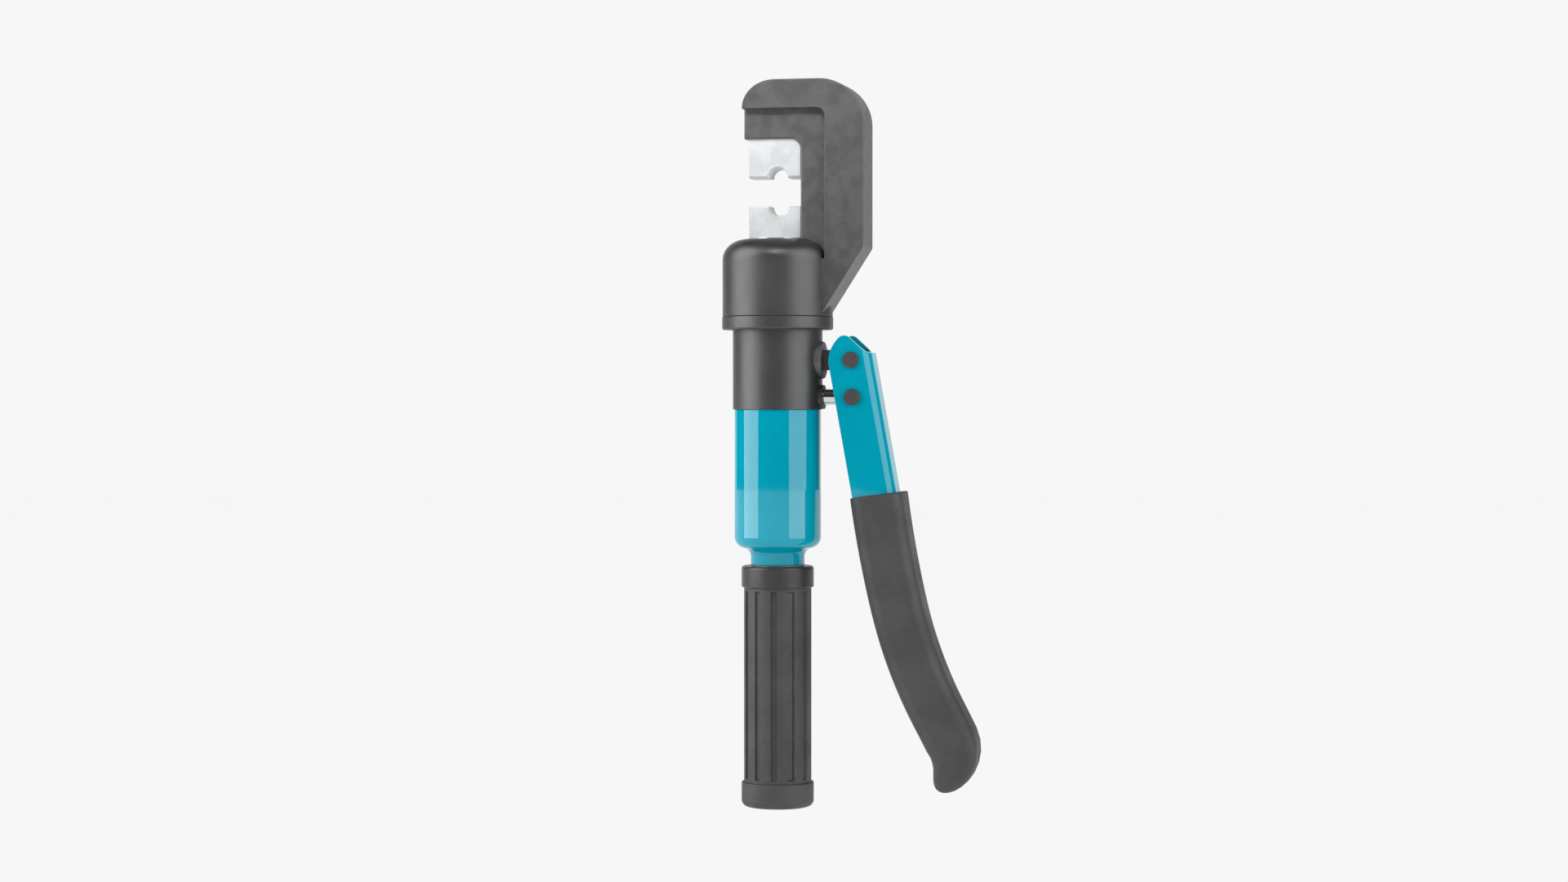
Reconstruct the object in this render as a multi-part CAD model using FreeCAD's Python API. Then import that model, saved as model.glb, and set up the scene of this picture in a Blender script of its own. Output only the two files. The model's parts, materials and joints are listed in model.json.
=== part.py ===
import FreeCAD, Part
import math
import os
from FreeCAD import Vector

# Hand-pumped hydraulic crimping tool. Millimetres, +Z up the tool's axis, origin at the centre of the
# grip end cap's flat bottom. The jaw opens towards -X, the pump lever hangs on +X, the front is -Y.

# ---- lengths up the tool's axis, from the bottom
END_CAP_H = 11.0          # black cap under the grip sleeve
SLEEVE_L = 85.8           # fluted sleeve
GRIP_RING_H = 9.5         # plain ring above the sleeve
NECK_GAP = 0.3            # the grip turns under the neck
HOUSING_L = 68.6          # reservoir housing with its neck
BLOCK_H = 30.8            # solid pump block at the bottom of the barrel
BARREL_SHOWS = 34.9       # barrel between the housing and the retaining collar
COLLAR_H = 5.8
SKIRT_H = 34.1            # round skirt of the head, up to its flat top
THROAT_H = 43.8           # from the skirt's top to the underside of the jaw
WEB_RISE = 13.0           # thinner web under the jaw's band
BAND_RISE = 12.7          # thick band round the back of the jaw

# ---- radii of the round pieces
GRIP_RING_R = 15.95
SLEEVE_R = 14.85
HANDLE_TUBE_R = 11.2
HANDLE_JOURNAL_R = 9.4
HANDLE_BORE_R = 7.6
NECK_R = 11.9
HOUSING_R = 19.1
HOUSING_WALL = 1.8
BARREL_R = 19.75
BARREL_STEP = 0.45        # the barrel inside the skirt is this much slimmer
RAM_BORE_R = 16.05
ROD_R = 11.0
SKIRT_OVER = 4.55         # outside of the skirt, beyond the barrel
SKIRT_WALL = 2.5
COLLAR_PROUD = 0.2        # the collar stands this far out of the skirt

# ---- working clearances
RUN = 0.05                # a shaft turning or sliding in its bore
SWIVEL = 0.08             # the head turning on the barrel
APART = 0.3               # faces of different moving bodies that never bear on each other

# ---- jaw, dies and ram
JAW_T = 22.0              # thickness of the band, front to back
WEB_STEP = 3.5            # the web lies this far below the band on each side
JAW_LEFT = -13.8
JAW_RIGHT = 40.5
BAND_INNER_X = 23.2
THROAT_X = 11.8           # back of the throat
JAW_NOSE_R = 12.0         # outer corner over the jaw's tip
JAW_BACK_R = 20.0         # outer corner over the jaw's back
JAW_EDGE_R = 1.2
WEB_EDGE_R = 0.8
DIE_HALF_W = 11.5
DIE_T = 12.0
UPPER_DIE_H = 17.2
LOWER_DIE_H = 14.0
NEST_R = 4.2
NEST_X = 1.5
DIE_CHAMFER = 0.9
TONGUE_NECK_W = 5.0
TONGUE_HEAD_W = 8.0
TONGUE_NECK_H = 2.0
TONGUE_HEAD_H = 2.6
TONGUE_FRONT = 3.5        # the tongue stops this far in front of the axis
DETENT_BALL_R = 1.2
DETENT_Y = 1.5
DETENT_PROUD = 0.4
DETENT_DEEP = 4.0         # hole of the detent spring, behind the tongue's root
DETENT_PLAY = 0.02
DETENT_SPRING_R = 0.85
DETENT_WIRE_R = 0.2
STROKE = 12.0
PISTON_H = 12.0

# ---- pump lever
LEVER_LEAN = 10.2
LEVER_W = 20.0
SHEET_T = 2.2
BEND_R = 5.4
LEVER_OUT = 8.8           # outer face of the channel, from the fulcrum pin's axis
LEVER_IN = 10.0           # free edges of the channel's ears, on the other side of the pin
LEVER_FULL_L = 66.0
LEVER_L = 112.0
FULCRUM_OUT = 14.95       # fulcrum pin's axis, out from the barrel
FULCRUM_DROP = 9.2        # fulcrum pin below the ram chamber's floor
CRANK = 16.2              # plunger pin below the fulcrum pin
CRANK_X = 0.6
PIN_R = 2.5
PIN_HEAD_R = 3.6
PIN_HEAD_H = 1.5
PIN_HEAD_EDGE_R = 0.5
LEVER_OPEN_DEG = 35.0
LUG_FLANGE_R = 8.2
LUG_T = 8.0
LUG_BAR_H = 8.9
LUG_EYE_R = 5.0
RIM_CHAMFER = 0.6         # edges of the lug's flange and of the piston
PLUNGER_R = 3.5
EYE_R = 5.2
EYE_T = 7.0
EYE_SIDE_PLAY = 0.35      # lets the pin's arc pass in the straight-moving eye
GLAND_R = 5.3

# ---- radii and places that follow from the sizes above
SKIRT_R = BARREL_R + SKIRT_OVER
COLLAR_R = SKIRT_R + COLLAR_PROUD
FULCRUM_X = BARREL_R + FULCRUM_OUT
Z_SLEEVE = END_CAP_H
Z_RING = Z_SLEEVE + SLEEVE_L
Z_GRIP_TOP = Z_RING + GRIP_RING_H
Z_NECK = Z_GRIP_TOP + NECK_GAP
Z_BLOCK = Z_NECK + HOUSING_L
Z_CHAMBER = Z_BLOCK + BLOCK_H
Z_COLLAR = Z_BLOCK + BARREL_SHOWS
Z_SKIRT = Z_COLLAR + COLLAR_H
Z_TOP = Z_SKIRT + SKIRT_H
Z_JAW = Z_TOP + THROAT_H
Z_BAND = Z_JAW + WEB_RISE
Z_HEAD = Z_BAND + BAND_RISE
Z_FULCRUM = Z_CHAMBER - FULCRUM_DROP
Z_PLUNGER = Z_FULCRUM - CRANK
PLUNGER_PIN_X = FULCRUM_X + CRANK_X

X_AXIS = Vector(1, 0, 0)
Y_AXIS = Vector(0, 1, 0)
Z_AXIS = Vector(0, 0, 1)
ORIGIN = Vector(0, 0, 0)


# ---- plain shapes
def rod(radius, z0, z1, x=0.0, y=0.0):
    return Part.makeCylinder(radius, z1 - z0, Vector(x, y, z0), Z_AXIS)


def rod_x(radius, x0, x1, z, y=0.0):
    return Part.makeCylinder(radius, x1 - x0, Vector(x0, y, z), X_AXIS)


def rod_y(radius, y0, y1, x, z):
    return Part.makeCylinder(radius, y1 - y0, Vector(x, y0, z), Y_AXIS)


def block(x0, x1, y0, y1, z0, z1):
    return Part.makeBox(x1 - x0, y1 - y0, z1 - z0, Vector(x0, y0, z0))


def ring(outer, inner, z0, z1, x=0.0, y=0.0):
    return rod(outer, z0, z1, x, y).cut(rod(inner, z0 - 1, z1 + 1, x, y))


def ball(radius, x, y, z):
    return Part.makeSphere(radius, Vector(x, y, z))


def outline(start, *steps):
    """A closed wire in the XZ plane. A step is a line's end, or an arc's middle and end."""
    edges = []
    here = Vector(start[0], 0, start[1])
    for step in steps:
        there = Vector(step[-2], 0, step[-1])
        if len(step) == 4:
            edges.append(Part.Arc(here, Vector(step[0], 0, step[1]), there).toShape())
        else:
            edges.append(Part.LineSegment(here, there).toShape())
        here = there
    first = Vector(start[0], 0, start[1])
    if here.distanceToPoint(first) > 1e-6:
        edges.append(Part.LineSegment(here, first).toShape())
    return Part.Wire(edges)


def turned(wire):
    return Part.Face(wire).revolve(ORIGIN, Z_AXIS, 360)


def plate(wire, half):
    """The outline as a plate from y = -half to y = +half."""
    face = Part.Face(wire)
    face.translate(Vector(0, -half, 0))
    return face.extrude(Vector(0, 2 * half, 0))


def corner(cx, cz, radius, from_deg, to_deg):
    """The middle and end of a round corner, as a step of an outline."""
    middle = math.radians((from_deg + to_deg) / 2)
    end = math.radians(to_deg)
    return (cx + radius * math.cos(middle), cz + radius * math.sin(middle),
            cx + radius * math.cos(end), cz + radius * math.sin(end))


def spring(mean_r, wire_r, z0, z1, turns, x=0.0, y=0.0):
    """A round-wire compression spring that fills the height from z0 to z1."""
    height = z1 - z0 - 2 * wire_r
    helix = Part.makeHelix(height / turns, height, mean_r)
    circle = Part.Circle(Vector(mean_r, 0, 0), Y_AXIS, wire_r)
    corners = [math.radians(45 + 90 * index) for index in range(5)]
    section = Part.Wire([Part.ArcOfCircle(circle, a, b).toShape() for a, b in zip(corners, corners[1:])])
    coil = Part.Wire(helix.Edges).makePipeShell([section], True, True)
    coil.translate(Vector(x, y, z0 + wire_r))
    return coil


def flat_edges(shape, half, above=-1.0):
    """The edges in the two faces y = -half and y = +half that reach higher than a level."""
    found = []
    for edge in shape.Edges:
        box = edge.BoundBox
        if box.YLength < 1e-6 and abs(abs(box.YMin) - half) < 1e-6 and box.ZMax > above:
            found.append(edge)
    return found


def group(*solids):
    return Part.makeCompound(list(solids))


# ---- the grip that turns: end cap, fluted sleeve, ring, tube and the drive to the release spindle
FLUTES = 12
FLUTE_W = 2.7
FLUTE_DEPTH = 0.9
FLUTE_START_DEG = 6.0     # first flute, from the front towards +X
CAP_EDGE_R = 2.9
RING_EDGE_R = 1.4
RIM_R = 0.6               # edges of the cap and the ring that meet the sleeve
CAP_FLOOR = 4.0
CAP_SPIGOT_H = 7.0
JOURNAL_L = 15.6          # upper end of the tube, inside the neck
WASHER_T = 0.25
HUB_H = 7.0
HUB_DROP = 9.0            # hub's top below the tube's shoulder
SQUARE = 3.0
SQUARE_PLAY = 0.1
DRIVE_PIN_R = 1.25
DRIVE_PIN_IN = 5.0
CIRCLIP_T = 1.2
CIRCLIP_BITE = 0.8
CIRCLIP_PROUD = 1.5
CIRCLIP_GAP = 16.0

HOUSING_FLOOR_T = 12.9            # from the neck's lower face to the housing's inner floor
Z_FLOOR = Z_NECK + HOUSING_FLOOR_T
Z_CIRCLIP = Z_FLOOR + 0.2


def grip_end_cap():
    cap = rod(GRIP_RING_R, 0, END_CAP_H)
    lower = [e for e in cap.Edges if e.BoundBox.ZMax < 1e-6]
    cap = cap.makeFillet(CAP_EDGE_R, lower)
    upper = [e for e in cap.Edges if e.BoundBox.ZMin > END_CAP_H - 1e-6]
    cap = cap.makeFillet(RIM_R, upper)
    cap = cap.cut(rod(HANDLE_TUBE_R, CAP_FLOOR, END_CAP_H + 1))
    return cap.fuse(rod(HANDLE_BORE_R, CAP_FLOOR, CAP_FLOOR + CAP_SPIGOT_H))


def grip_sleeve():
    sleeve = ring(SLEEVE_R, HANDLE_TUBE_R, Z_SLEEVE, Z_RING)
    for index in range(FLUTES):
        flute = block(-FLUTE_W / 2, FLUTE_W / 2, -SLEEVE_R - 1, -SLEEVE_R + FLUTE_DEPTH,
                      Z_SLEEVE - 1, Z_RING + 1)
        flute.rotate(ORIGIN, Z_AXIS, FLUTE_START_DEG + index * 360.0 / FLUTES)
        sleeve = sleeve.cut(flute)
    return sleeve


def grip_ring():
    top = rod(GRIP_RING_R, Z_RING, Z_GRIP_TOP)
    upper = [e for e in top.Edges if e.BoundBox.ZMin > Z_GRIP_TOP - 1e-6]
    top = top.makeFillet(RING_EDGE_R, upper)
    lower = [e for e in top.Edges if e.BoundBox.ZMax < Z_RING + 1e-6]
    top = top.makeFillet(RIM_R, lower)
    return top.cut(rod(HANDLE_TUBE_R, Z_RING - 1, Z_GRIP_TOP + 1))


def handle_tube():
    shoulder = Z_NECK - WASHER_T - RUN
    tube = rod(HANDLE_TUBE_R, CAP_FLOOR, shoulder).fuse(rod(HANDLE_JOURNAL_R, shoulder, Z_NECK + JOURNAL_L))
    tube = tube.cut(rod(HANDLE_BORE_R, CAP_FLOOR - 1, Z_NECK + JOURNAL_L + 1))
    groove = ring(HANDLE_JOURNAL_R + 1, HANDLE_JOURNAL_R - CIRCLIP_BITE, Z_CIRCLIP, Z_CIRCLIP + CIRCLIP_T)
    tube = tube.cut(groove)
    for pin in drive_pin_list():
        tube = tube.cut(pin)
    return tube


def thrust_washer():
    shoulder = Z_NECK - WASHER_T - RUN
    return ring(HANDLE_TUBE_R, HANDLE_JOURNAL_R, shoulder, shoulder + WASHER_T)


def handle_circlip():
    clip = ring(HANDLE_JOURNAL_R + CIRCLIP_PROUD, HANDLE_JOURNAL_R - CIRCLIP_BITE, Z_CIRCLIP,
                Z_CIRCLIP + CIRCLIP_T)
    gap = block(0, HOUSING_R, -CIRCLIP_GAP / 4, CIRCLIP_GAP / 4, Z_CIRCLIP - 1, Z_CIRCLIP + CIRCLIP_T + 1)
    return clip.cut(gap)


def hub_levels():
    top = Z_GRIP_TOP - HUB_DROP
    return top - HUB_H, top


def drive_pin_list():
    low, high = hub_levels()
    level = (low + high) / 2
    return [rod_x(DRIVE_PIN_R, DRIVE_PIN_IN, HANDLE_TUBE_R - 0.1, level),
            rod_x(DRIVE_PIN_R, -HANDLE_TUBE_R + 0.1, -DRIVE_PIN_IN, level)]


def drive_pins():
    return group(*drive_pin_list())


def drive_hub():
    low, high = hub_levels()
    half = (SQUARE + SQUARE_PLAY) / 2
    hub = rod(HANDLE_BORE_R, low, high).cut(block(-half, half, -half, half, low - 1, high + 1))
    for pin in drive_pin_list():
        hub = hub.cut(pin)
    return hub


# ---- reservoir: housing, rubber bladder and what closes it
SHOULDER_R = 5.0
NECK_FILLET_R = 3.9
SHOULDER_RISE = 12.4      # centre of the shoulder's arc, above the neck's lower face
CAVITY_R = HOUSING_R - HOUSING_WALL
THREAD_H = 7.2            # block's threaded spigot in the housing
SPIGOT_R = 14.6
SPIGOT_H = 17.2
BLADDER_WALL = 1.3
BLADDER_END_GAP = 3.0     # bladder's lower end above the housing's floor
PLUG_H = 5.0
CLAMP_H = 4.0
CLAMP_T = 0.9
SEAL_T = 1.8
SEAL_RISE = 1.0           # housing seal above the threaded spigot's lower end
SPINDLE_R = 2.0
SPINDLE_SEAL_RISE = 1.5   # seal above the bladder plug's lower face
CLAMP_RISE = 0.5          # lower clamp above the bladder's end
UPPER_CLAMP_RISE = 2.0    # upper clamp above the block's lower end

Z_SPIGOT = Z_BLOCK - SPIGOT_H
Z_THREAD = Z_BLOCK - THREAD_H
Z_BLADDER = Z_FLOOR + BLADDER_END_GAP


def reservoir_housing():
    arc_z = Z_NECK + SHOULDER_RISE
    out_r = HOUSING_R - SHOULDER_R
    in_r = NECK_R + NECK_FILLET_R
    fillet_z = arc_z - math.sqrt((SHOULDER_R + NECK_FILLET_R) ** 2 - (in_r - out_r) ** 2)
    share = SHOULDER_R / (SHOULDER_R + NECK_FILLET_R)
    joint_r = out_r + share * (in_r - out_r)
    joint_z = arc_z + share * (fillet_z - arc_z)
    lean = math.degrees(math.atan2(joint_z - arc_z, joint_r - out_r))
    fillet_lean = math.degrees(math.atan2(joint_z - fillet_z, joint_r - in_r))
    shell = turned(outline(
        (HANDLE_JOURNAL_R + RUN, Z_NECK), (NECK_R, Z_NECK), (NECK_R, fillet_z),
        corner(in_r, fillet_z, NECK_FILLET_R, 180, fillet_lean),
        corner(out_r, arc_z, SHOULDER_R, lean, 0),
        (HOUSING_R, Z_BLOCK), (CAVITY_R, Z_BLOCK), (CAVITY_R, Z_FLOOR), (HANDLE_JOURNAL_R + RUN, Z_FLOOR)))
    return shell


def oil_bladder():
    return ring(SPIGOT_R + BLADDER_WALL, SPIGOT_R, Z_BLADDER, Z_THREAD)


def bladder_plug():
    low = Z_BLADDER + SPINDLE_SEAL_RISE
    plug = ring(SPIGOT_R, SPINDLE_R + RUN, Z_BLADDER, Z_BLADDER + PLUG_H)
    return plug.cut(rod(SPINDLE_R + SEAL_T, low, low + SEAL_T))


def spindle_seal():
    low = Z_BLADDER + SPINDLE_SEAL_RISE
    return ring(SPINDLE_R + SEAL_T, SPINDLE_R + RUN, low, low + SEAL_T)


def bladder_clamps():
    inner = SPIGOT_R + BLADDER_WALL
    rings = []
    for z0 in (Z_BLADDER + CLAMP_RISE, Z_SPIGOT + UPPER_CLAMP_RISE):
        rings.append(ring(inner + CLAMP_T, inner, z0, z0 + CLAMP_H))
    return group(*rings)


def housing_seal():
    z0 = Z_THREAD + SEAL_RISE
    return ring(CAVITY_R, CAVITY_R - SEAL_T, z0, z0 + SEAL_T)


# ---- barrel with the pump block, its valves and passages
FLANGE_H = 4.0
FLANGE_R = SKIRT_R - SKIRT_WALL - SWIVEL
BARREL_NECK_R = BARREL_R - BARREL_STEP
COLLAR_SPIGOT_H = 2.5
COLLAR_EDGE_R = 0.8
COLLAR_SPIGOT_WALL = 0.8
CAP_PLATE_H = 6.5
PASSAGE_R = 1.2
CROSS_R = 1.0             # cross-drilled passages, a little past the holes they meet
CROSS_PAST = 0.3
DRILL_POINT = 1.6
VALVE_R = 2.6
VALVE_BALL_R = 2.0
VALVE_SPRING_R = 1.8
VALVE_WIRE_R = 0.25
BALL_CROWN = 1.0          # a spring stands this far past its ball's centre
END_PLAY = 0.02
CHECK_X = -8.5
RELEASE_Y = 9.0
RELIEF_Y = -9.0
CHAMBER_END_X = 1.0
PACKING_X = 13.5
PACKING_T = 3.0
GLAND_FACE_X = BARREL_R + 1.25
LUG_SEAT_X = BARREL_R - 1.95
LUG_FACE_X = BARREL_R + 1.3
LUG_STUD_R = 5.0
LUG_STUD_X = 10.0
SPINDLE_THREAD_R = 3.0
RELEASE_SEAT_DROP = 3.2   # release seat below the block's lower face
CROSS_DROP = 1.6          # cross passage below the block's lower face
SUCTION_SEAT_H = 6.0
SUCTION_ROOF_DROP = 3.2
DELIVERY_FLOOR = 7.4      # delivery valve's seat above the plunger's axis
DELIVERY_PLUG_H = 4.0
RELIEF_SEAT_DROP = 16.0   # relief valve's seat below the chamber's floor
RELIEF_SCREW_H = 8.0
PISTON_GAP = 1.0
PASSAGE_PLUG_L = 4.0
PASSAGE_PLUG_SUNK = 0.6
RELIEF_SCREW_RISE = 1.5
RELIEF_SPRING_R = 1.9
RELIEF_WIRE_R = 0.5
DRIVER_SLOT_W = 0.8
DRIVER_SLOT_DEEP = 1.2
FILTER_DROP = 8.0
FILTER_OVER = 0.8
FILTER_WALL = 0.4

Z_FLANGE = Z_SKIRT + COLLAR_SPIGOT_H + RUN
Z_PLATE = Z_TOP - CAP_PLATE_H
Z_RELEASE_SEAT = Z_BLOCK - RELEASE_SEAT_DROP
Z_SUCTION_ROOF = Z_BLOCK - SUCTION_ROOF_DROP
Z_DELIVERY_SEAT = Z_PLUNGER + DELIVERY_FLOOR
Z_RELIEF_SEAT = Z_CHAMBER - RELIEF_SEAT_DROP


def seated_ball_drop(seat_r):
    """How far a valve ball's centre stands from the edge of the hole it closes."""
    return math.sqrt(VALVE_BALL_R ** 2 - seat_r ** 2)


def barrel():
    body = turned(outline(
        (0, Z_SPIGOT), (SPIGOT_R, Z_SPIGOT), (SPIGOT_R, Z_THREAD), (CAVITY_R, Z_THREAD),
        (CAVITY_R, Z_BLOCK), (BARREL_R, Z_BLOCK), (BARREL_R, Z_FLANGE), (FLANGE_R, Z_FLANGE),
        (FLANGE_R, Z_FLANGE + FLANGE_H), (BARREL_NECK_R, Z_FLANGE + FLANGE_H),
        (BARREL_NECK_R, Z_PLATE - 2 * RUN), (RAM_BORE_R, Z_PLATE - 2 * RUN),
        (RAM_BORE_R, Z_CHAMBER), (0, Z_CHAMBER)))
    cross_z = Z_BLOCK - CROSS_DROP
    cuts = [
        # pump plunger: chamber, packing and gland pocket, and the passage to both check valves
        rod_x(PLUNGER_R + RUN, CHAMBER_END_X, PACKING_X, Z_PLUNGER),
        rod_x(GLAND_R, PACKING_X, BARREL_R + 1, Z_PLUNGER),
        rod_x(CROSS_R, CHECK_X - CROSS_PAST, CHAMBER_END_X + 1, Z_PLUNGER),
        # suction and delivery valves, one above the other
        rod(VALVE_R, Z_SPIGOT, Z_SUCTION_ROOF, CHECK_X),
        rod(PASSAGE_R, Z_SUCTION_ROOF, Z_DELIVERY_SEAT, CHECK_X),
        rod(VALVE_R, Z_DELIVERY_SEAT, Z_CHAMBER, CHECK_X),
        # release valve on the axis, with its way up to the ram chamber
        rod(SPINDLE_THREAD_R + RUN, Z_SPIGOT, Z_RELEASE_SEAT),
        rod(PASSAGE_R, Z_RELEASE_SEAT, cross_z + DRILL_POINT),
        rod_y(CROSS_R, -CROSS_PAST, CAVITY_R + 1, 0, cross_z),
        rod(PASSAGE_R, cross_z - DRILL_POINT, Z_CHAMBER, 0, RELEASE_Y),
        # relief valve
        rod(VALVE_R, Z_SPIGOT, Z_RELIEF_SEAT, 0, RELIEF_Y),
        rod(PASSAGE_R, Z_RELIEF_SEAT, Z_CHAMBER, 0, RELIEF_Y),
        # seat and thread of the fulcrum lug
        rod_x(LUG_FLANGE_R, LUG_SEAT_X, BARREL_R + 1, Z_FULCRUM),
        rod_x(LUG_STUD_R, LUG_STUD_X, LUG_SEAT_X, Z_FULCRUM),
    ]
    for cut in cuts:
        body = body.cut(cut)
    groove_z = Z_FLANGE + (FLANGE_H - SEAL_T) / 2
    body = body.cut(ring(FLANGE_R + 1, FLANGE_R - SEAL_T, groove_z, groove_z + SEAL_T))
    seal_z = Z_THREAD + SEAL_RISE
    return body.cut(ring(CAVITY_R + 1, CAVITY_R - SEAL_T, seal_z, seal_z + SEAL_T))


def passage_plug():
    end = CAVITY_R - PASSAGE_PLUG_SUNK
    return rod_y(CROSS_R, end - PASSAGE_PLUG_L, end, 0, Z_BLOCK - CROSS_DROP)


def gland_nut():
    return rod_x(GLAND_R, PACKING_X + PACKING_T, GLAND_FACE_X, Z_PLUNGER).cut(
        rod_x(PLUNGER_R + RUN, PACKING_X, GLAND_FACE_X + 1, Z_PLUNGER))


def plunger_packing():
    return rod_x(GLAND_R, PACKING_X, PACKING_X + PACKING_T, Z_PLUNGER).cut(
        rod_x(PLUNGER_R + RUN, PACKING_X - 1, PACKING_X + PACKING_T + 1, Z_PLUNGER))


def suction_seat():
    return ring(VALVE_R, PASSAGE_R, Z_SPIGOT, Z_SPIGOT + SUCTION_SEAT_H, CHECK_X)


def suction_ball_z():
    return Z_SPIGOT + SUCTION_SEAT_H + seated_ball_drop(PASSAGE_R)


def suction_ball():
    return ball(VALVE_BALL_R, CHECK_X, 0, suction_ball_z())


def suction_spring():
    return spring(VALVE_SPRING_R, VALVE_WIRE_R, suction_ball_z() + BALL_CROWN, Z_SUCTION_ROOF - END_PLAY,
                  3.0, CHECK_X)


def suction_filter():
    low = Z_SPIGOT - FILTER_DROP
    cup_r = VALVE_R + FILTER_OVER
    cup = rod(cup_r, low, Z_SPIGOT, CHECK_X)
    return cup.cut(rod(cup_r - FILTER_WALL, low + FILTER_WALL, Z_SPIGOT + 1, CHECK_X))


def delivery_ball():
    return ball(VALVE_BALL_R, CHECK_X, 0, Z_DELIVERY_SEAT + seated_ball_drop(PASSAGE_R))


def delivery_spring():
    low = Z_DELIVERY_SEAT + seated_ball_drop(PASSAGE_R) + BALL_CROWN
    high = Z_CHAMBER - DELIVERY_PLUG_H - END_PLAY
    return spring(VALVE_SPRING_R, VALVE_WIRE_R, low, high, 6.0, CHECK_X)


def delivery_plug():
    return ring(VALVE_R, PASSAGE_R, Z_CHAMBER - DELIVERY_PLUG_H, Z_CHAMBER, CHECK_X)


def release_ball():
    return ball(VALVE_BALL_R, 0, 0, Z_RELEASE_SEAT - seated_ball_drop(PASSAGE_R))


def relief_ball():
    return ball(VALVE_BALL_R, 0, RELIEF_Y, Z_RELIEF_SEAT - seated_ball_drop(PASSAGE_R))


def relief_spring():
    low = Z_SPIGOT + RELIEF_SCREW_RISE + RELIEF_SCREW_H + END_PLAY
    high = Z_RELIEF_SEAT - seated_ball_drop(PASSAGE_R) - BALL_CROWN
    return spring(RELIEF_SPRING_R, RELIEF_WIRE_R, low, high, 7.0, 0, RELIEF_Y)


def relief_screw():
    low = Z_SPIGOT + RELIEF_SCREW_RISE
    half = DRIVER_SLOT_W / 2
    screw = rod(VALVE_R, low, low + RELIEF_SCREW_H, 0, RELIEF_Y)
    return screw.cut(block(-VALVE_R, VALVE_R, RELIEF_Y - half, RELIEF_Y + half, low - 1,
                           low + DRIVER_SLOT_DEEP))


def fulcrum_lug():
    stud = rod_x(LUG_STUD_R, LUG_STUD_X, LUG_SEAT_X, Z_FULCRUM)
    flange = rod_x(LUG_FLANGE_R, LUG_SEAT_X, LUG_FACE_X, Z_FULCRUM)
    rim = [e for e in flange.Edges if e.BoundBox.XMin > LUG_FACE_X - 1e-6]
    flange = flange.makeChamfer(RIM_CHAMFER, rim)
    bar = block(LUG_FACE_X - 1, FULCRUM_X, -LUG_T / 2, LUG_T / 2,
                Z_FULCRUM - LUG_BAR_H / 2, Z_FULCRUM + LUG_BAR_H / 2)
    eye = rod_y(LUG_EYE_R, -LUG_T / 2, LUG_T / 2, FULCRUM_X, Z_FULCRUM)
    lug = stud.fuse(flange).fuse(bar).fuse(eye).removeSplitter()
    return lug.cut(rod_y(PIN_R + RUN, -LUG_T, LUG_T, FULCRUM_X, Z_FULCRUM))


# ---- release spindle, screwed up against its ball
SPINDLE_TIP_R = 1.0
TIP_GAP = 0.05


def release_spindle():
    tip_z = Z_RELEASE_SEAT - seated_ball_drop(PASSAGE_R) - VALVE_BALL_R - TIP_GAP
    low, high = hub_levels()
    half = SQUARE / 2
    square = block(-half, half, -half, half, low, high + 3)
    shaft = rod(SPINDLE_R, high + 2, Z_SPIGOT - 1)
    thread = rod(SPINDLE_THREAD_R, Z_SPIGOT - 2, tip_z - 2)
    tip = Part.makeCone(SPINDLE_THREAD_R, SPINDLE_TIP_R, 2, Vector(0, 0, tip_z - 2), Z_AXIS)
    return square.fuse(shaft).fuse(thread).fuse(tip).removeSplitter()


# ---- ram, its seals, return spring and the head
SEAL_Z = 3.0
SEAL_H = 3.2
BACKUP_H = 1.2
SEAL_DEPTH = 2.4
WIPER_T = 1.9
WIPER_H = 2.5
SPRING_WIRE_R = 1.2
SPRING_TURNS = 3.5
SKIRT_ROUND_H = 9.0
SKIRT_ROUND_W = 10.5
SLOPE_TOP_DROP = 3.9      # the back's slope starts this far below the skirt's top
SLOPE_END_X = SKIRT_R - 2.0
SLOPE_END_RISE = 1.7      # and ends this far above the collar
BAND_INNER_R = 3.6
WEB_INNER_R = 4.5
WEB_SETBACK = 0.3

Z_PISTON = Z_CHAMBER + PISTON_GAP
Z_RAM_TOP = Z_TOP + APART


def t_tongue(z_root, towards, front, back, grow):
    """The tongue a die slides on: neck and wider head, from z_root upwards (1) or downwards (-1)."""
    neck = TONGUE_NECK_W / 2 + grow
    head = TONGUE_HEAD_W / 2 + grow
    z_neck = z_root + towards * (TONGUE_NECK_H - grow)
    z_head = z_root + towards * (TONGUE_NECK_H + TONGUE_HEAD_H + grow)
    near = z_root - towards * 0.5
    lower = block(-neck, neck, -front, back, min(near, z_head), max(near, z_head))
    upper = block(-head, head, -front, back, min(z_neck, z_head), max(z_neck, z_head))
    return lower.fuse(upper).removeSplitter()


def detent_z(z_root, towards):
    """Centre of the detent ball in a tongue's end."""
    face = z_root + towards * (TONGUE_NECK_H + TONGUE_HEAD_H)
    return face - towards * (DETENT_BALL_R - DETENT_PROUD)


def detent_hole(z_root, towards):
    face = z_root + towards * (TONGUE_NECK_H + TONGUE_HEAD_H + 1)
    deep = z_root - towards * DETENT_DEEP
    return rod(DETENT_BALL_R + DETENT_PLAY, min(face, deep), max(face, deep), 0, DETENT_Y)


def detent(z_root, towards):
    """Ball and spring in a tongue, as two solids."""
    centre = detent_z(z_root, towards)
    deep = z_root - towards * DETENT_DEEP
    near = centre - towards * DETENT_BALL_R * 0.72
    low, high = min(deep, near) + DETENT_PLAY, max(deep, near) - DETENT_PLAY
    return group(ball(DETENT_BALL_R, 0, DETENT_Y, centre),
                 spring(DETENT_SPRING_R, DETENT_WIRE_R, low, high, 4.0, 0, DETENT_Y))


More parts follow.
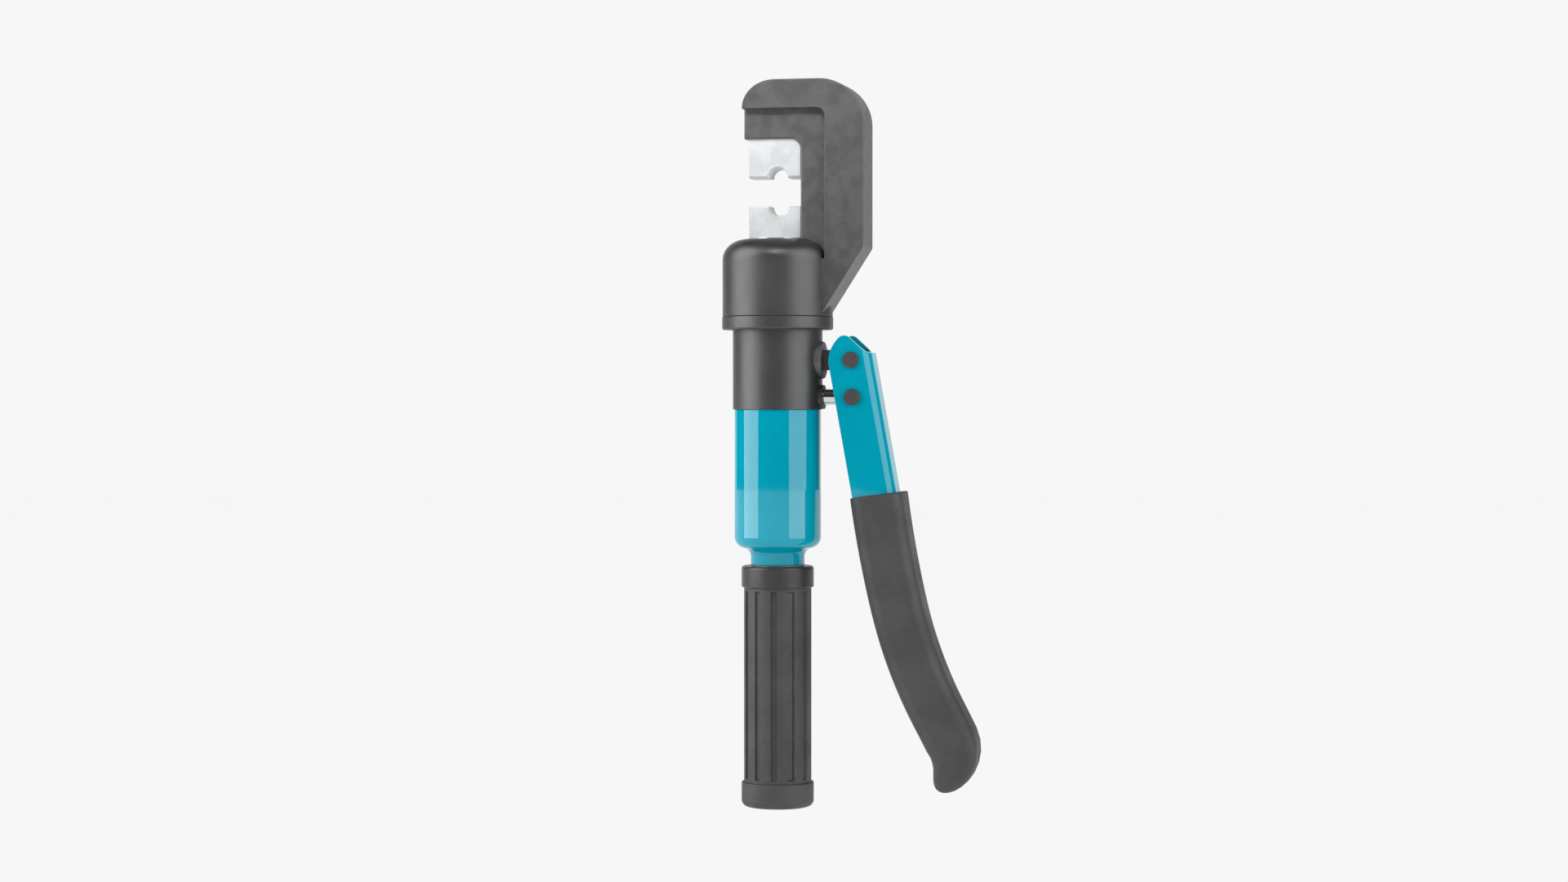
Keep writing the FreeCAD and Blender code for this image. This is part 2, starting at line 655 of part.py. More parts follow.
def ram():
    body = rod(RAM_BORE_R - RUN, Z_PISTON, Z_PISTON + PISTON_H)
    rim = [e for e in body.Edges if e.BoundBox.ZLength < 1e-6 and e.Curve.TypeId.endswith("GeomCircle")]
    body = body.makeChamfer(RIM_CHAMFER, rim)
    body = body.fuse(rod(ROD_R, Z_PISTON + PISTON_H - 1, Z_RAM_TOP))
    body = body.cut(ring(RAM_BORE_R + 1, RAM_BORE_R - SEAL_DEPTH, Z_PISTON + SEAL_Z,
                         Z_PISTON + SEAL_Z + SEAL_H + BACKUP_H))
    tongue = t_tongue(Z_RAM_TOP, 1, TONGUE_FRONT, DIE_T / 2, 0)
    body = body.fuse(tongue).removeSplitter()
    return body.cut(detent_hole(Z_RAM_TOP, 1))


def piston_seal():
    z0 = Z_PISTON + SEAL_Z
    return ring(RAM_BORE_R - RUN, RAM_BORE_R - SEAL_DEPTH, z0, z0 + SEAL_H)


def backup_ring():
    z0 = Z_PISTON + SEAL_Z + SEAL_H
    return ring(RAM_BORE_R - RUN, RAM_BORE_R - SEAL_DEPTH, z0, z0 + BACKUP_H)


def return_spring():
    mean = (ROD_R + RAM_BORE_R) / 2
    return spring(mean, SPRING_WIRE_R, Z_PISTON + PISTON_H + 0.05, Z_PLATE - 0.02, SPRING_TURNS)


def skirt():
    round_z = Z_TOP - SKIRT_ROUND_H
    flat_r = SKIRT_R - SKIRT_ROUND_W
    ellipse = Part.Ellipse(Vector(0, 0, 0), SKIRT_ROUND_W, SKIRT_ROUND_H)
    rounding = Part.ArcOfEllipse(ellipse, 0, math.pi / 2).toShape()
    rounding.rotate(ORIGIN, X_AXIS, 90)
    rounding.translate(Vector(flat_r, 0, round_z))
    corners = [Vector(flat_r, 0, Z_TOP), Vector(0, 0, Z_TOP), Vector(0, 0, Z_SKIRT),
               Vector(SKIRT_R, 0, Z_SKIRT), Vector(SKIRT_R, 0, round_z)]
    edges = [rounding]
    for first, second in zip(corners, corners[1:]):
        edges.append(Part.LineSegment(first, second).toShape())
    return turned(Part.Wire(Part.__sortEdges__(edges)))


def jaw_band():
    """The thick band: over the top, down the back and down the slope to the skirt."""
    nose_x = JAW_LEFT + JAW_NOSE_R
    back_x = JAW_RIGHT - JAW_BACK_R
    slope_top = Z_TOP - SLOPE_TOP_DROP
    slope_end = Z_SKIRT + SLOPE_END_RISE
    in_x = BAND_INNER_X - BAND_INNER_R
    wire = outline(
        (JAW_LEFT, Z_BAND), (JAW_LEFT, Z_HEAD - JAW_NOSE_R),
        corner(nose_x, Z_HEAD - JAW_NOSE_R, JAW_NOSE_R, 180, 90),
        (back_x, Z_HEAD),
        corner(back_x, Z_HEAD - JAW_BACK_R, JAW_BACK_R, 90, 0),
        (JAW_RIGHT, slope_top), (SLOPE_END_X, slope_end), (RAM_BORE_R, slope_end),
        (RAM_BORE_R, Z_TOP - SKIRT_ROUND_H), (BAND_INNER_X, Z_TOP - SKIRT_ROUND_H),
        (BAND_INNER_X, Z_BAND - BAND_INNER_R),
        corner(in_x, Z_BAND - BAND_INNER_R, BAND_INNER_R, 0, 90))
    band = plate(wire, JAW_T / 2)
    return band.makeFillet(JAW_EDGE_R, flat_edges(band, JAW_T / 2, Z_TOP - SKIRT_ROUND_H + 1))


def jaw_web():
    in_x = THROAT_X - WEB_INNER_R
    left = JAW_LEFT + WEB_SETBACK
    middle = BAND_INNER_X + 2
    wire = outline(
        (left, Z_JAW), (left, Z_BAND + 2), (middle, Z_BAND + 2), (middle, Z_TOP - SKIRT_ROUND_H),
        (THROAT_X, Z_TOP - SKIRT_ROUND_H), (THROAT_X, Z_JAW - WEB_INNER_R),
        corner(in_x, Z_JAW - WEB_INNER_R, WEB_INNER_R, 0, 90))
    half = JAW_T / 2 - WEB_STEP
    web = plate(wire, half)
    return web.makeFillet(WEB_EDGE_R, flat_edges(web, half, Z_TOP - SKIRT_ROUND_H + 1))


def head_frame():
    frame = skirt().fuse(jaw_band()).fuse(jaw_web()).removeSplitter()
    bore = SKIRT_R - SKIRT_WALL
    frame = frame.cut(rod(bore, Z_SKIRT - 1, Z_PLATE))
    frame = frame.cut(rod(bore + COLLAR_SPIGOT_WALL, Z_SKIRT - 1, Z_SKIRT + COLLAR_SPIGOT_H))
    frame = frame.cut(rod(ROD_R + RUN, Z_PLATE - 1, Z_TOP + 1))
    frame = frame.cut(wiper_space())
    frame = frame.fuse(t_tongue(Z_JAW, -1, TONGUE_FRONT, DIE_T / 2, 0))
    return frame.cut(detent_hole(Z_JAW, -1))


def wiper_space():
    z0 = Z_PLATE + (CAP_PLATE_H - WIPER_H) / 2
    return ring(ROD_R + WIPER_T, ROD_R + RUN, z0, z0 + WIPER_H)


def rod_wiper():
    return wiper_space()


def retaining_collar():
    bore = BARREL_R + SWIVEL
    collar = rod(COLLAR_R, Z_COLLAR, Z_SKIRT)
    lower = [e for e in collar.Edges if e.BoundBox.ZMax < Z_COLLAR + 1e-6]
    collar = collar.makeFillet(COLLAR_EDGE_R, lower)
    spigot = rod(SKIRT_R - SKIRT_WALL + COLLAR_SPIGOT_WALL, Z_SKIRT, Z_SKIRT + COLLAR_SPIGOT_H)
    return collar.fuse(spigot).cut(rod(bore, Z_COLLAR - 1, Z_SKIRT + COLLAR_SPIGOT_H + 1))


def swivel_seal():
    z0 = Z_FLANGE + (FLANGE_H - SEAL_T) / 2
    return ring(FLANGE_R, FLANGE_R - SEAL_T, z0, z0 + SEAL_T)


# ---- dies
DIE_SLIP = 0.05


def die(z_root, towards, height):
    """A die on its tongue, with its nest away from z_root. The upper one fits into the throat's corner."""
    root = z_root + towards * DIE_SLIP
    face = z_root + towards * height
    body = block(-DIE_HALF_W, DIE_HALF_W, -DIE_T / 2, DIE_T / 2, min(root, face), max(root, face))
    body = body.cut(rod_y(NEST_R, -DIE_T, DIE_T, NEST_X, face))
    if towards < 0:
        beside = [e for e in body.Edges
                  if e.BoundBox.XMin > DIE_HALF_W - 1e-6 and e.BoundBox.ZMin > root - 1e-6]
        body = body.makeFillet(WEB_INNER_R - THROAT_X + DIE_HALF_W, beside)
    edges = []
    for edge in flat_edges(body, DIE_T / 2):
        box = edge.BoundBox
        if abs((box.ZMin + box.ZMax) / 2 - face) < NEST_R and box.ZLength < NEST_R + 0.5:
            edges.append(edge)
    body = body.makeChamfer(DIE_CHAMFER, edges)
    body = body.cut(t_tongue(z_root, towards, TONGUE_FRONT + DIE_SLIP, DIE_T, DIE_SLIP))
    return body.cut(die_groove(z_root, towards))


def die_groove(z_root, towards):
    """Groove over the detent ball, closed in front and open at the back."""
    centre = detent_z(z_root, towards)
    radius = DETENT_BALL_R + DIE_SLIP
    run = Part.makeCylinder(radius, DIE_T, Vector(0, DETENT_Y, centre), Y_AXIS)
    return run.fuse(ball(radius, 0, DETENT_Y, centre))


def upper_die():
    return die(Z_JAW, -1, UPPER_DIE_H)


def lower_die():
    return die(Z_RAM_TOP, 1, LOWER_DIE_H)


# ---- pump lever, its pins and the plunger
EAR_TOP = 11.1
EAR_TOP_S = -1.6
WEB_TOP = 1.6
TANG_IN = 7.0
SPACER_R = LEVER_OUT - BEND_R     # stands on the flat of the ear
SPACER_GAP = 0.15
CLIP_T = 0.8
CLIP_R = 4.0
CLIP_BITE = 0.5
PIN_TAIL = 2.0
PLUNGER_END_X = 4.0


def leaned(shape):
    """From the upright lever's place to its lean, about the fulcrum pin at the origin."""
    shape.rotate(ORIGIN, Y_AXIS, -LEVER_LEAN)
    shape.translate(Vector(FULCRUM_X, 0, Z_FULCRUM))
    return shape


def lever_side():
    """Side outline of the upright lever, with the fulcrum pin at (0, 0)."""
    return outline(
        (-LEVER_IN, 0), (-LEVER_IN * 0.77, LEVER_IN * 0.64, EAR_TOP_S - 1.8, EAR_TOP - 0.5),
        (EAR_TOP_S, EAR_TOP, EAR_TOP_S + 2.2, EAR_TOP - 0.8),
        (LEVER_OUT - SHEET_T, WEB_TOP + 0.9), (LEVER_OUT, WEB_TOP), (LEVER_OUT, -LEVER_L),
        (-TANG_IN, -LEVER_L), (-TANG_IN, -LEVER_FULL_L - 3), (-LEVER_IN, -LEVER_FULL_L))


def channel_blank(inner):
    """The bent channel as a long straight length, or the room inside it."""
    off = SHEET_T if inner else 0.0
    radius = max(BEND_R - off, 0.3)
    side = LEVER_W / 2 - off
    out = LEVER_OUT - off
    back = -LEVER_IN - 1
    points = [Vector(back, -side, 0), Vector(out - radius, -side, 0), Vector(out, -side + radius, 0),
              Vector(out, side - radius, 0), Vector(out - radius, side, 0), Vector(back, side, 0)]
    turn = radius * (1 - math.sqrt(0.5))
    edges = [Part.LineSegment(points[0], points[1]).toShape(),
             Part.Arc(points[1], Vector(out - turn, -side + turn, 0), points[2]).toShape(),
             Part.LineSegment(points[2], points[3]).toShape(),
             Part.Arc(points[3], Vector(out - turn, side - turn, 0), points[4]).toShape(),
             Part.LineSegment(points[4], points[5]).toShape(),
             Part.LineSegment(points[5], points[0]).toShape()]
    face = Part.Face(Part.Wire(edges))
    face.translate(Vector(0, 0, -LEVER_L - 1))
    return face.extrude(Vector(0, 0, LEVER_L + EAR_TOP + 2))


def pin_hole(radius, x, z):
    return rod_y(radius, -LEVER_W, LEVER_W, x, z)


def lever_channel():
    sheet = channel_blank(False).cut(channel_blank(True))
    sheet = leaned(sheet.common(plate(lever_side(), LEVER_W)))
    sheet = sheet.cut(pin_hole(PIN_R, FULCRUM_X, Z_FULCRUM))
    return sheet.cut(pin_hole(PIN_R, PLUNGER_PIN_X, Z_PLUNGER))


def lever_envelope():
    """The channel filled in, which the moulded grip leaves free."""
    return leaned(channel_blank(False).common(plate(lever_side(), LEVER_W)))


# moulded lever grip: a rounded section carried along arcs, given as (length, turn in degrees)
GRIP_START_X = FULCRUM_X + 10.7
GRIP_START_RISE = 31.4    # upper end of the lever grip above the housing's neck
GRIP_START_LEAN = 7.5
GRIP_ARCS = ((50.0, 6.0), (50.0, 14.3), (11.7, -1.0), (22.7, -90.0))
GRIP_DEPTH = (23.5, 22.9)
GRIP_WIDTH = (24.0, 22.0)
GRIP_EDGE_R = 6.0
TOE_L = 22.2
GRIP_SPANS = 14           # sections along the grip, before the rounded toe
TOE_SPANS = 10


def grip_station(distance):
    """Centre and lean of the lever grip at a distance along its arcs."""
    x, z = GRIP_START_X, Z_NECK + GRIP_START_RISE
    lean = GRIP_START_LEAN
    left = distance
    for length, turn in GRIP_ARCS:
        run = min(length, left)
        turned_by = turn * run / length
        middle = math.radians(lean + turned_by / 2)
        x += run * math.sin(middle)
        z -= run * math.cos(middle)
        lean += turned_by
        left -= run
        if left <= 0:
            break
    return x, z, lean


def grip_section(distance):
    x, z, lean = grip_station(distance)
    total = sum(length for length, turn in GRIP_ARCS)
    share = distance / total
    depth = GRIP_DEPTH[0] + (GRIP_DEPTH[1] - GRIP_DEPTH[0]) * share
    width = GRIP_WIDTH[0] + (GRIP_WIDTH[1] - GRIP_WIDTH[0]) * share
    into_toe = max(0.0, distance - (total - TOE_L)) / TOE_L
    toe = math.sqrt(max(1 - into_toe ** 2, 0.0))
    a, b = depth / 2 * toe, width / 2 * toe
    r = min(GRIP_EDGE_R, 0.85 * min(a, b))
    k = r * (1 - math.sqrt(0.5))
    edges = []
    stops = [((a - r, -b), (a - k, -b + k), (a, -b + r)), ((a, b - r), (a - k, b - k), (a - r, b)),
             ((-a + r, b), (-a + k, b - k), (-a, b - r)), ((-a, -b + r), (-a + k, -b + k), (-a + r, -b))]
    for index, (first, middle, last) in enumerate(stops):
        following = stops[(index + 1) % 4][0]
        edges.append(Part.Arc(Vector(*first, 0), Vector(*middle, 0), Vector(*last, 0)).toShape())
        edges.append(Part.LineSegment(Vector(*last, 0), Vector(*following, 0)).toShape())
    wire = Part.Wire(edges)
    wire.rotate(ORIGIN, Y_AXIS, -lean)
    wire.translate(Vector(x, 0, z))
    return wire


def lever_grip():
    toe_start = sum(length for length, turn in GRIP_ARCS) - TOE_L
    places = [toe_start * index / GRIP_SPANS for index in range(GRIP_SPANS)]
    for index in range(TOE_SPANS):
        places.append(toe_start + TOE_L * math.sin(math.pi / 2 * index / TOE_SPANS))
    places.append(toe_start + TOE_L * 0.995)
    solid = Part.makeLoft([grip_section(place) for place in places], True, True)
    return solid.cut(lever_envelope())


def headed_pin(x, z):
    half = LEVER_W / 2
    shank = rod_y(PIN_R, -half, half + PIN_TAIL, x, z)
    head = rod_y(PIN_HEAD_R, -half - PIN_HEAD_H, -half, x, z)
    rim = [e for e in head.Edges if e.BoundBox.YMax < -half - PIN_HEAD_H + 1e-6]
    head = head.makeFillet(PIN_HEAD_EDGE_R, rim)
    groove = rod_y(PIN_R + 1, half, half + CLIP_T, x, z).cut(rod_y(PIN_R - CLIP_BITE, 0, LEVER_W, x, z))
    return shank.fuse(head).cut(groove)


def fulcrum_pin():
    return headed_pin(FULCRUM_X, Z_FULCRUM)


def plunger_pin():
    return headed_pin(PLUNGER_PIN_X, Z_PLUNGER)


def pin_clips():
    clips = []
    half = LEVER_W / 2
    for x, z in ((FULCRUM_X, Z_FULCRUM), (PLUNGER_PIN_X, Z_PLUNGER)):
        clip = rod_y(CLIP_R, half, half + CLIP_T, x, z)
        clip = clip.cut(rod_y(PIN_R - CLIP_BITE, half - 1, half + CLIP_T + 1, x, z))
        slot = PIN_R - CLIP_BITE - 0.3
        clips.append(clip.cut(block(x - slot, x + slot, half - 1, half + CLIP_T + 1, z - CLIP_R - 1, z)))
    return group(*clips)


def spacers(inner_half, x, z):
    """A bush on each side, from the moving part's face to the lever's ear."""
    ear = LEVER_W / 2 - SHEET_T
    bushes = []
    for y0, y1 in ((-ear, -inner_half - SPACER_GAP), (inner_half + SPACER_GAP, ear)):
        bushes.append(rod_y(SPACER_R, y0, y1, x, z).cut(rod_y(PIN_R, y0 - 1, y1 + 1, x, z)))
    return group(*bushes)


def fulcrum_spacers():
    return spacers(LUG_T / 2, FULCRUM_X, Z_FULCRUM)


def plunger_spacers():
    return spacers(EYE_T / 2, PLUNGER_PIN_X, Z_PLUNGER)


def obround(radius, rise, half, x, z):
    lower = rod_y(radius, -half, half, x, z)
    upper = rod_y(radius, -half, half, x, z + rise)
    middle = block(x - radius, x + radius, -half, half, z, z + rise)
    return lower.fuse(upper).fuse(middle).removeSplitter()


def plunger():
    """Pump plunger with the upright slot that the lever's pin rises in as it swings."""
    swing = math.radians(LEVER_OPEN_DEG)
    rise = CRANK * (1 - math.cos(swing)) + CRANK_X * math.sin(swing)
    piston = rod_x(PLUNGER_R, PLUNGER_END_X, PLUNGER_PIN_X - EYE_R + 1, Z_PLUNGER)
    eye = obround(EYE_R, rise, EYE_T / 2, PLUNGER_PIN_X, Z_PLUNGER)
    slot = obround(PIN_R + EYE_SIDE_PLAY, rise, EYE_T, PLUNGER_PIN_X, Z_PLUNGER)
    return piston.fuse(eye).cut(slot).removeSplitter()


NODES = (
    grip_end_cap, grip_sleeve, grip_ring, handle_tube, thrust_washer, handle_circlip, drive_pins, drive_hub,
    reservoir_housing, oil_bladder, bladder_plug, spindle_seal, bladder_clamps, housing_seal,
    barrel, passage_plug, gland_nut, plunger_packing, suction_seat, suction_ball, suction_spring,
    suction_filter, delivery_ball, delivery_spring, delivery_plug, release_ball, relief_ball,
    relief_spring, relief_screw, fulcrum_lug, release_spindle,
    ram, piston_seal, backup_ring, return_spring, head_frame, rod_wiper, retaining_collar, swivel_seal,
    upper_die, lower_die,
    lever_channel, lever_grip, fulcrum_pin, plunger_pin, pin_clips, fulcrum_spacers, plunger_spacers,
    plunger,
)

os.makedirs("parts", exist_ok=True)
shapes = {piece.__name__: piece() for piece in NODES}
shapes["upper_detent"] = detent(Z_JAW, -1)
shapes["lower_detent"] = detent(Z_RAM_TOP, 1)
for name, shape in shapes.items():
    state = "valid" if shape.isValid() else "INVALID"
    print(name, len(shape.Solids), "solids", round(shape.Volume, 1), "mm3", state)
    shape.exportStep("parts/" + name + ".step")
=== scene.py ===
import bpy
import bmesh
import json
import math
from mathutils import Matrix, Vector


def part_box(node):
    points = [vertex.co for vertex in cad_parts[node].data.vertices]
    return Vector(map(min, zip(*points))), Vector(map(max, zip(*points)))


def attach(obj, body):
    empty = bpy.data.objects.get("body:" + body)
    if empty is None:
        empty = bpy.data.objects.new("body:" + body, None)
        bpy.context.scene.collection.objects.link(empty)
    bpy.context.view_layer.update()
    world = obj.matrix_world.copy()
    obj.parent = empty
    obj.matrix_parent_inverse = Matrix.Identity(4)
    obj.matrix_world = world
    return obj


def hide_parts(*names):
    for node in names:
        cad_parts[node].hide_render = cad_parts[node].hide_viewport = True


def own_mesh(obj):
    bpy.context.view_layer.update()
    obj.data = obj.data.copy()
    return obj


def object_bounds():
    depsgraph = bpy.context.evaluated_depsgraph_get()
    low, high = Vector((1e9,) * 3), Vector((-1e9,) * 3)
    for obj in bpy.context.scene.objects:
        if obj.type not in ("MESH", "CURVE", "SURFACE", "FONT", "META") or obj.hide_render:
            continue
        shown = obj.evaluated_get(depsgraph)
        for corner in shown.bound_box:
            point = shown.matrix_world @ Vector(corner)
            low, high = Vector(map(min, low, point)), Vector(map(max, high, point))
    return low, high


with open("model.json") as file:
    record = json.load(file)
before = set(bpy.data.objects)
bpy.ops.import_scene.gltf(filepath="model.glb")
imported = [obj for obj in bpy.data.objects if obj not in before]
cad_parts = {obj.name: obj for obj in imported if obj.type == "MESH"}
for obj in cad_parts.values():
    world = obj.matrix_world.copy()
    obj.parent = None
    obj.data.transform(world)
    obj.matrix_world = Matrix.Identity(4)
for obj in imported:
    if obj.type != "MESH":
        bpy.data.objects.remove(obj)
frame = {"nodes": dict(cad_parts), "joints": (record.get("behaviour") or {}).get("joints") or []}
cad_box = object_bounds()
scene = bpy.context.scene

# ---- Studio
# A white floor that runs into a white room, a tall soft box on each side of the tool, and a camera
# a little to the tool's right with a long lens.
TOOL_HEIGHT = cad_box[1].z
CAMERA_TURN = math.radians(12.5)
CAMERA_FAR = 1.36
CAMERA_UP = 0.572 * TOOL_HEIGHT
AIM_RIGHT = 0.00277
AIM_UP = 0.5045 * TOOL_HEIGHT
LENS_MM = 70.8
SENSOR_MM = 36.0
CLIP_END = 60.0
ROOM_WHITE = 0.93
BACKDROP_LIGHT = 0.95
BACKDROP_HALF_ANGLE = math.radians(38.0)
BACKDROP_SOFTNESS = 0.02
ROOM_LIGHT = 0.02
FLOOR_RADIUS = 4.4
FLOOR_GLOW = 0.92
FLOOR_GREY = 0.012
LIGHTS_AIM = Vector((0.0, 0.0, 0.16))
JAW_AIM = Vector((-0.01, -0.01, 0.345))


def spot_round_tool(turn, far, up):
    return Vector((far * math.sin(turn), -far * math.cos(turn), up))


def link(name, data):
    thing = bpy.data.objects.new(name, data)
    scene.collection.objects.link(thing)
    return thing


def studio_camera():
    data = bpy.data.cameras.new("studio_camera")
    data.lens = LENS_MM
    data.sensor_width = SENSOR_MM
    data.clip_end = CLIP_END
    camera = link("studio_camera", data)
    camera.location = spot_round_tool(CAMERA_TURN, CAMERA_FAR, CAMERA_UP)
    aim = Vector((AIM_RIGHT * math.cos(CAMERA_TURN), AIM_RIGHT * math.sin(CAMERA_TURN), AIM_UP))
    camera.rotation_euler = (aim - camera.location).to_track_quat("-Z", "Y").to_euler()
    scene.camera = camera


def soft_box(name, turn_deg, far, up, width, height, watts, aim=LIGHTS_AIM, spread_deg=180.0):
    """A rectangle of light that is turned, in degrees, from the camera's side round the tool."""
    data = bpy.data.lights.new(name, "AREA")
    data.shape = "RECTANGLE"
    data.size = width
    data.size_y = height
    data.energy = watts
    data.spread = math.radians(spread_deg)
    light = link(name, data)
    light.location = spot_round_tool(CAMERA_TURN + math.radians(turn_deg), far, up)
    light.rotation_euler = (aim - light.location).to_track_quat("-Z", "Y").to_euler()


def white_room():
    """White to look at. Only the backdrop behind the tool gives light, the rest is nearly dark."""
    world = bpy.data.worlds.new("white_room")
    world.use_nodes = True
    tree = world.node_tree
    tree.nodes.clear()
    out = tree.nodes.new("ShaderNodeOutputWorld")
    mix = tree.nodes.new("ShaderNodeMixShader")
    path = tree.nodes.new("ShaderNodeLightPath")
    seen = tree.nodes.new("ShaderNodeBackground")
    lit = tree.nodes.new("ShaderNodeBackground")
    seen.inputs["Color"].default_value = (ROOM_WHITE, ROOM_WHITE, ROOM_WHITE, 1.0)
    lit.inputs["Color"].default_value = (1.0, 1.0, 1.0, 1.0)
    towards = tree.nodes.new("ShaderNodeTexCoord")
    facing = tree.nodes.new("ShaderNodeVectorMath")
    facing.operation = "DOT_PRODUCT"
    facing.inputs[1].default_value = (-math.sin(CAMERA_TURN), math.cos(CAMERA_TURN), 0.0)
    edge = tree.nodes.new("ShaderNodeMapRange")
    edge.inputs["From Min"].default_value = math.cos(BACKDROP_HALF_ANGLE) - BACKDROP_SOFTNESS
    edge.inputs["From Max"].default_value = math.cos(BACKDROP_HALF_ANGLE) + BACKDROP_SOFTNESS
    edge.inputs["To Min"].default_value = ROOM_LIGHT
    edge.inputs["To Max"].default_value = BACKDROP_LIGHT
    tree.links.new(towards.outputs["Generated"], facing.inputs[0])
    tree.links.new(facing.outputs["Value"], edge.inputs["Value"])
    tree.links.new(edge.outputs["Result"], lit.inputs["Strength"])
    tree.links.new(path.outputs["Is Camera Ray"], mix.inputs["Fac"])
    tree.links.new(lit.outputs[0], mix.inputs[1])
    tree.links.new(seen.outputs[0], mix.inputs[2])
    tree.links.new(mix.outputs[0], out.inputs["Surface"])
    scene.world = world


def pale_floor():
    bm = bmesh.new()
    bmesh.ops.create_circle(bm, cap_ends=True, segments=96, radius=FLOOR_RADIUS)
    mesh = bpy.data.meshes.new("pale_floor")
    bm.to_mesh(mesh)
    bm.free()
    paint = bpy.data.materials.new("pale_floor")
    paint.use_nodes = True
    shader = paint.node_tree.nodes["Principled BSDF"]
    shader.inputs["Base Color"].default_value = (FLOOR_GREY, FLOOR_GREY, FLOOR_GREY, 1.0)
    shader.inputs["Roughness"].default_value = 0.9
    shader.inputs["Specular IOR Level"].default_value = 0.0
    shader.inputs["Emission Color"].default_value = (1.0, 1.0, 1.0, 1.0)
    shader.inputs["Emission Strength"].default_value = FLOOR_GLOW
    mesh.materials.append(paint)
    link("pale_floor", mesh)


scene.view_settings.view_transform = "Standard"
studio_camera()
white_room()
pale_floor()
soft_box("left_box", turn_deg=-77.0, far=1.7, up=0.75, width=1.7, height=2.4, watts=50.0)
soft_box("right_box", turn_deg=56.0, far=1.7, up=0.75, width=1.9, height=2.4, watts=36.0)
soft_box("jaw_light", turn_deg=-6.0, far=0.42, up=0.66, width=0.18, height=0.10, watts=0.075,
         aim=JAW_AIM, spread_deg=24.0)

# ---- Barrel with the pump block
# Turned and drilled from one steel bar, then sprayed with the satin black enamel that the collar, the
# skirt and the lug's bar wear too. It is slightly orange-peeled, smudged by hands, and worn through to
# grey along the sharp edges.
MM = 0.001
BARREL_R = 19.75 * MM
ENAMEL_BLACK = (0.015, 0.015, 0.016, 1.0)
ENAMEL_SMUDGE = (0.021, 0.021, 0.022, 1.0)
BARE_EDGE = (0.24, 0.24, 0.25, 1.0)
PEEL_SIZE = 1.1 * MM
PEEL_DEPTH = 0.012 * MM
SMUDGE_SIZE = 22.0 * MM
WEAR_WIDTH = 0.35 * MM
WEAR_BREAK_UP = 700.0


def node_group(name, values, outputs):
    """A shader node group with float inputs, as (name, default), and float outputs by name."""
    group = bpy.data.node_groups.new(name, "ShaderNodeTree")
    for socket, default in values:
        made = group.interface.new_socket(name=socket, in_out="INPUT", socket_type="NodeSocketFloat")
        made.default_value = default
    for socket in outputs:
        group.interface.new_socket(name=socket, in_out="OUTPUT", socket_type="NodeSocketFloat")
    inside = group.nodes.new("NodeGroupInput")
    outside = group.nodes.new("NodeGroupOutput")
    return group, inside, outside


def math_node(tree, operation, first, second=0.0, clamp=False):
    node = tree.nodes.new("ShaderNodeMath")
    node.operation = operation
    node.use_clamp = clamp
    for socket, value in zip(node.inputs, (first, second)):
        if isinstance(value, (int, float)):
            socket.default_value = value
        else:
            tree.links.new(value, socket)
    return node.outputs[0]


def noise_node(tree, where, scale, detail=2.0, roughness=0.5):
    node = tree.nodes.new("ShaderNodeTexNoise")
    node.inputs["Detail"].default_value = detail
    node.inputs["Roughness"].default_value = roughness
    if isinstance(scale, (int, float)):
        node.inputs["Scale"].default_value = scale
    else:
        tree.links.new(scale, node.inputs["Scale"])
    tree.links.new(where, node.inputs["Vector"])
    return node.outputs["Fac"]


def range_node(tree, value, low, high):
    node = tree.nodes.new("ShaderNodeMapRange")
    node.interpolation_type = "SMOOTHSTEP"
    node.inputs["From Min"].default_value = low
    node.inputs["From Max"].default_value = high
    tree.links.new(value, node.inputs["Value"])
    return node.outputs["Result"]


def object_coordinates(tree):
    return tree.nodes.new("ShaderNodeTexCoord").outputs["Object"]


def make_edge_wear():
    """Mask of the sharp edges, broken up, for bare metal and rubbed paint."""
    group, inside, outside = node_group(
        "edge_wear", [("Radius", 0.0005), ("Break up", 600.0), ("Amount", 1.0)], ["Mask"])
    bevel = group.nodes.new("ShaderNodeBevel")
    bevel.samples = 4
    group.links.new(inside.outputs["Radius"], bevel.inputs["Radius"])
    geometry = group.nodes.new("ShaderNodeNewGeometry")
    dot = group.nodes.new("ShaderNodeVectorMath")
    dot.operation = "DOT_PRODUCT"
    group.links.new(bevel.outputs["Normal"], dot.inputs[0])
    group.links.new(geometry.outputs["Normal"], dot.inputs[1])
    turn = math_node(group, "SUBTRACT", 1.0, dot.outputs["Value"])
    edge = range_node(group, turn, 0.02, 0.22)
    noise = noise_node(group, object_coordinates(group), inside.outputs["Break up"], 3.0)
    patch = range_node(group, noise, 0.42, 0.66)
    worn = math_node(group, "MULTIPLY", edge, patch)
    worn = math_node(group, "MULTIPLY", worn, inside.outputs["Amount"], clamp=True)
    group.links.new(worn, outside.inputs["Mask"])
    return group


def make_smudges():
    """Broad soft patches from handling, and a finer mottle inside them."""
    group, inside, outside = node_group("smudges", [("Size", 0.02)], ["Mask"])
    scale = math_node(group, "DIVIDE", 1.0, inside.outputs["Size"])
    where = object_coordinates(group)
    broad = noise_node(group, where, scale, 3.0, 0.55)
    fine = noise_node(group, where, math_node(group, "MULTIPLY", scale, 9.0), 4.0, 0.6)
    both = math_node(group, "ADD", math_node(group, "MULTIPLY", broad, 0.75),
                     math_node(group, "MULTIPLY", fine, 0.25))
    group.links.new(range_node(group, both, 0.38, 0.64), outside.inputs["Mask"])
    return group


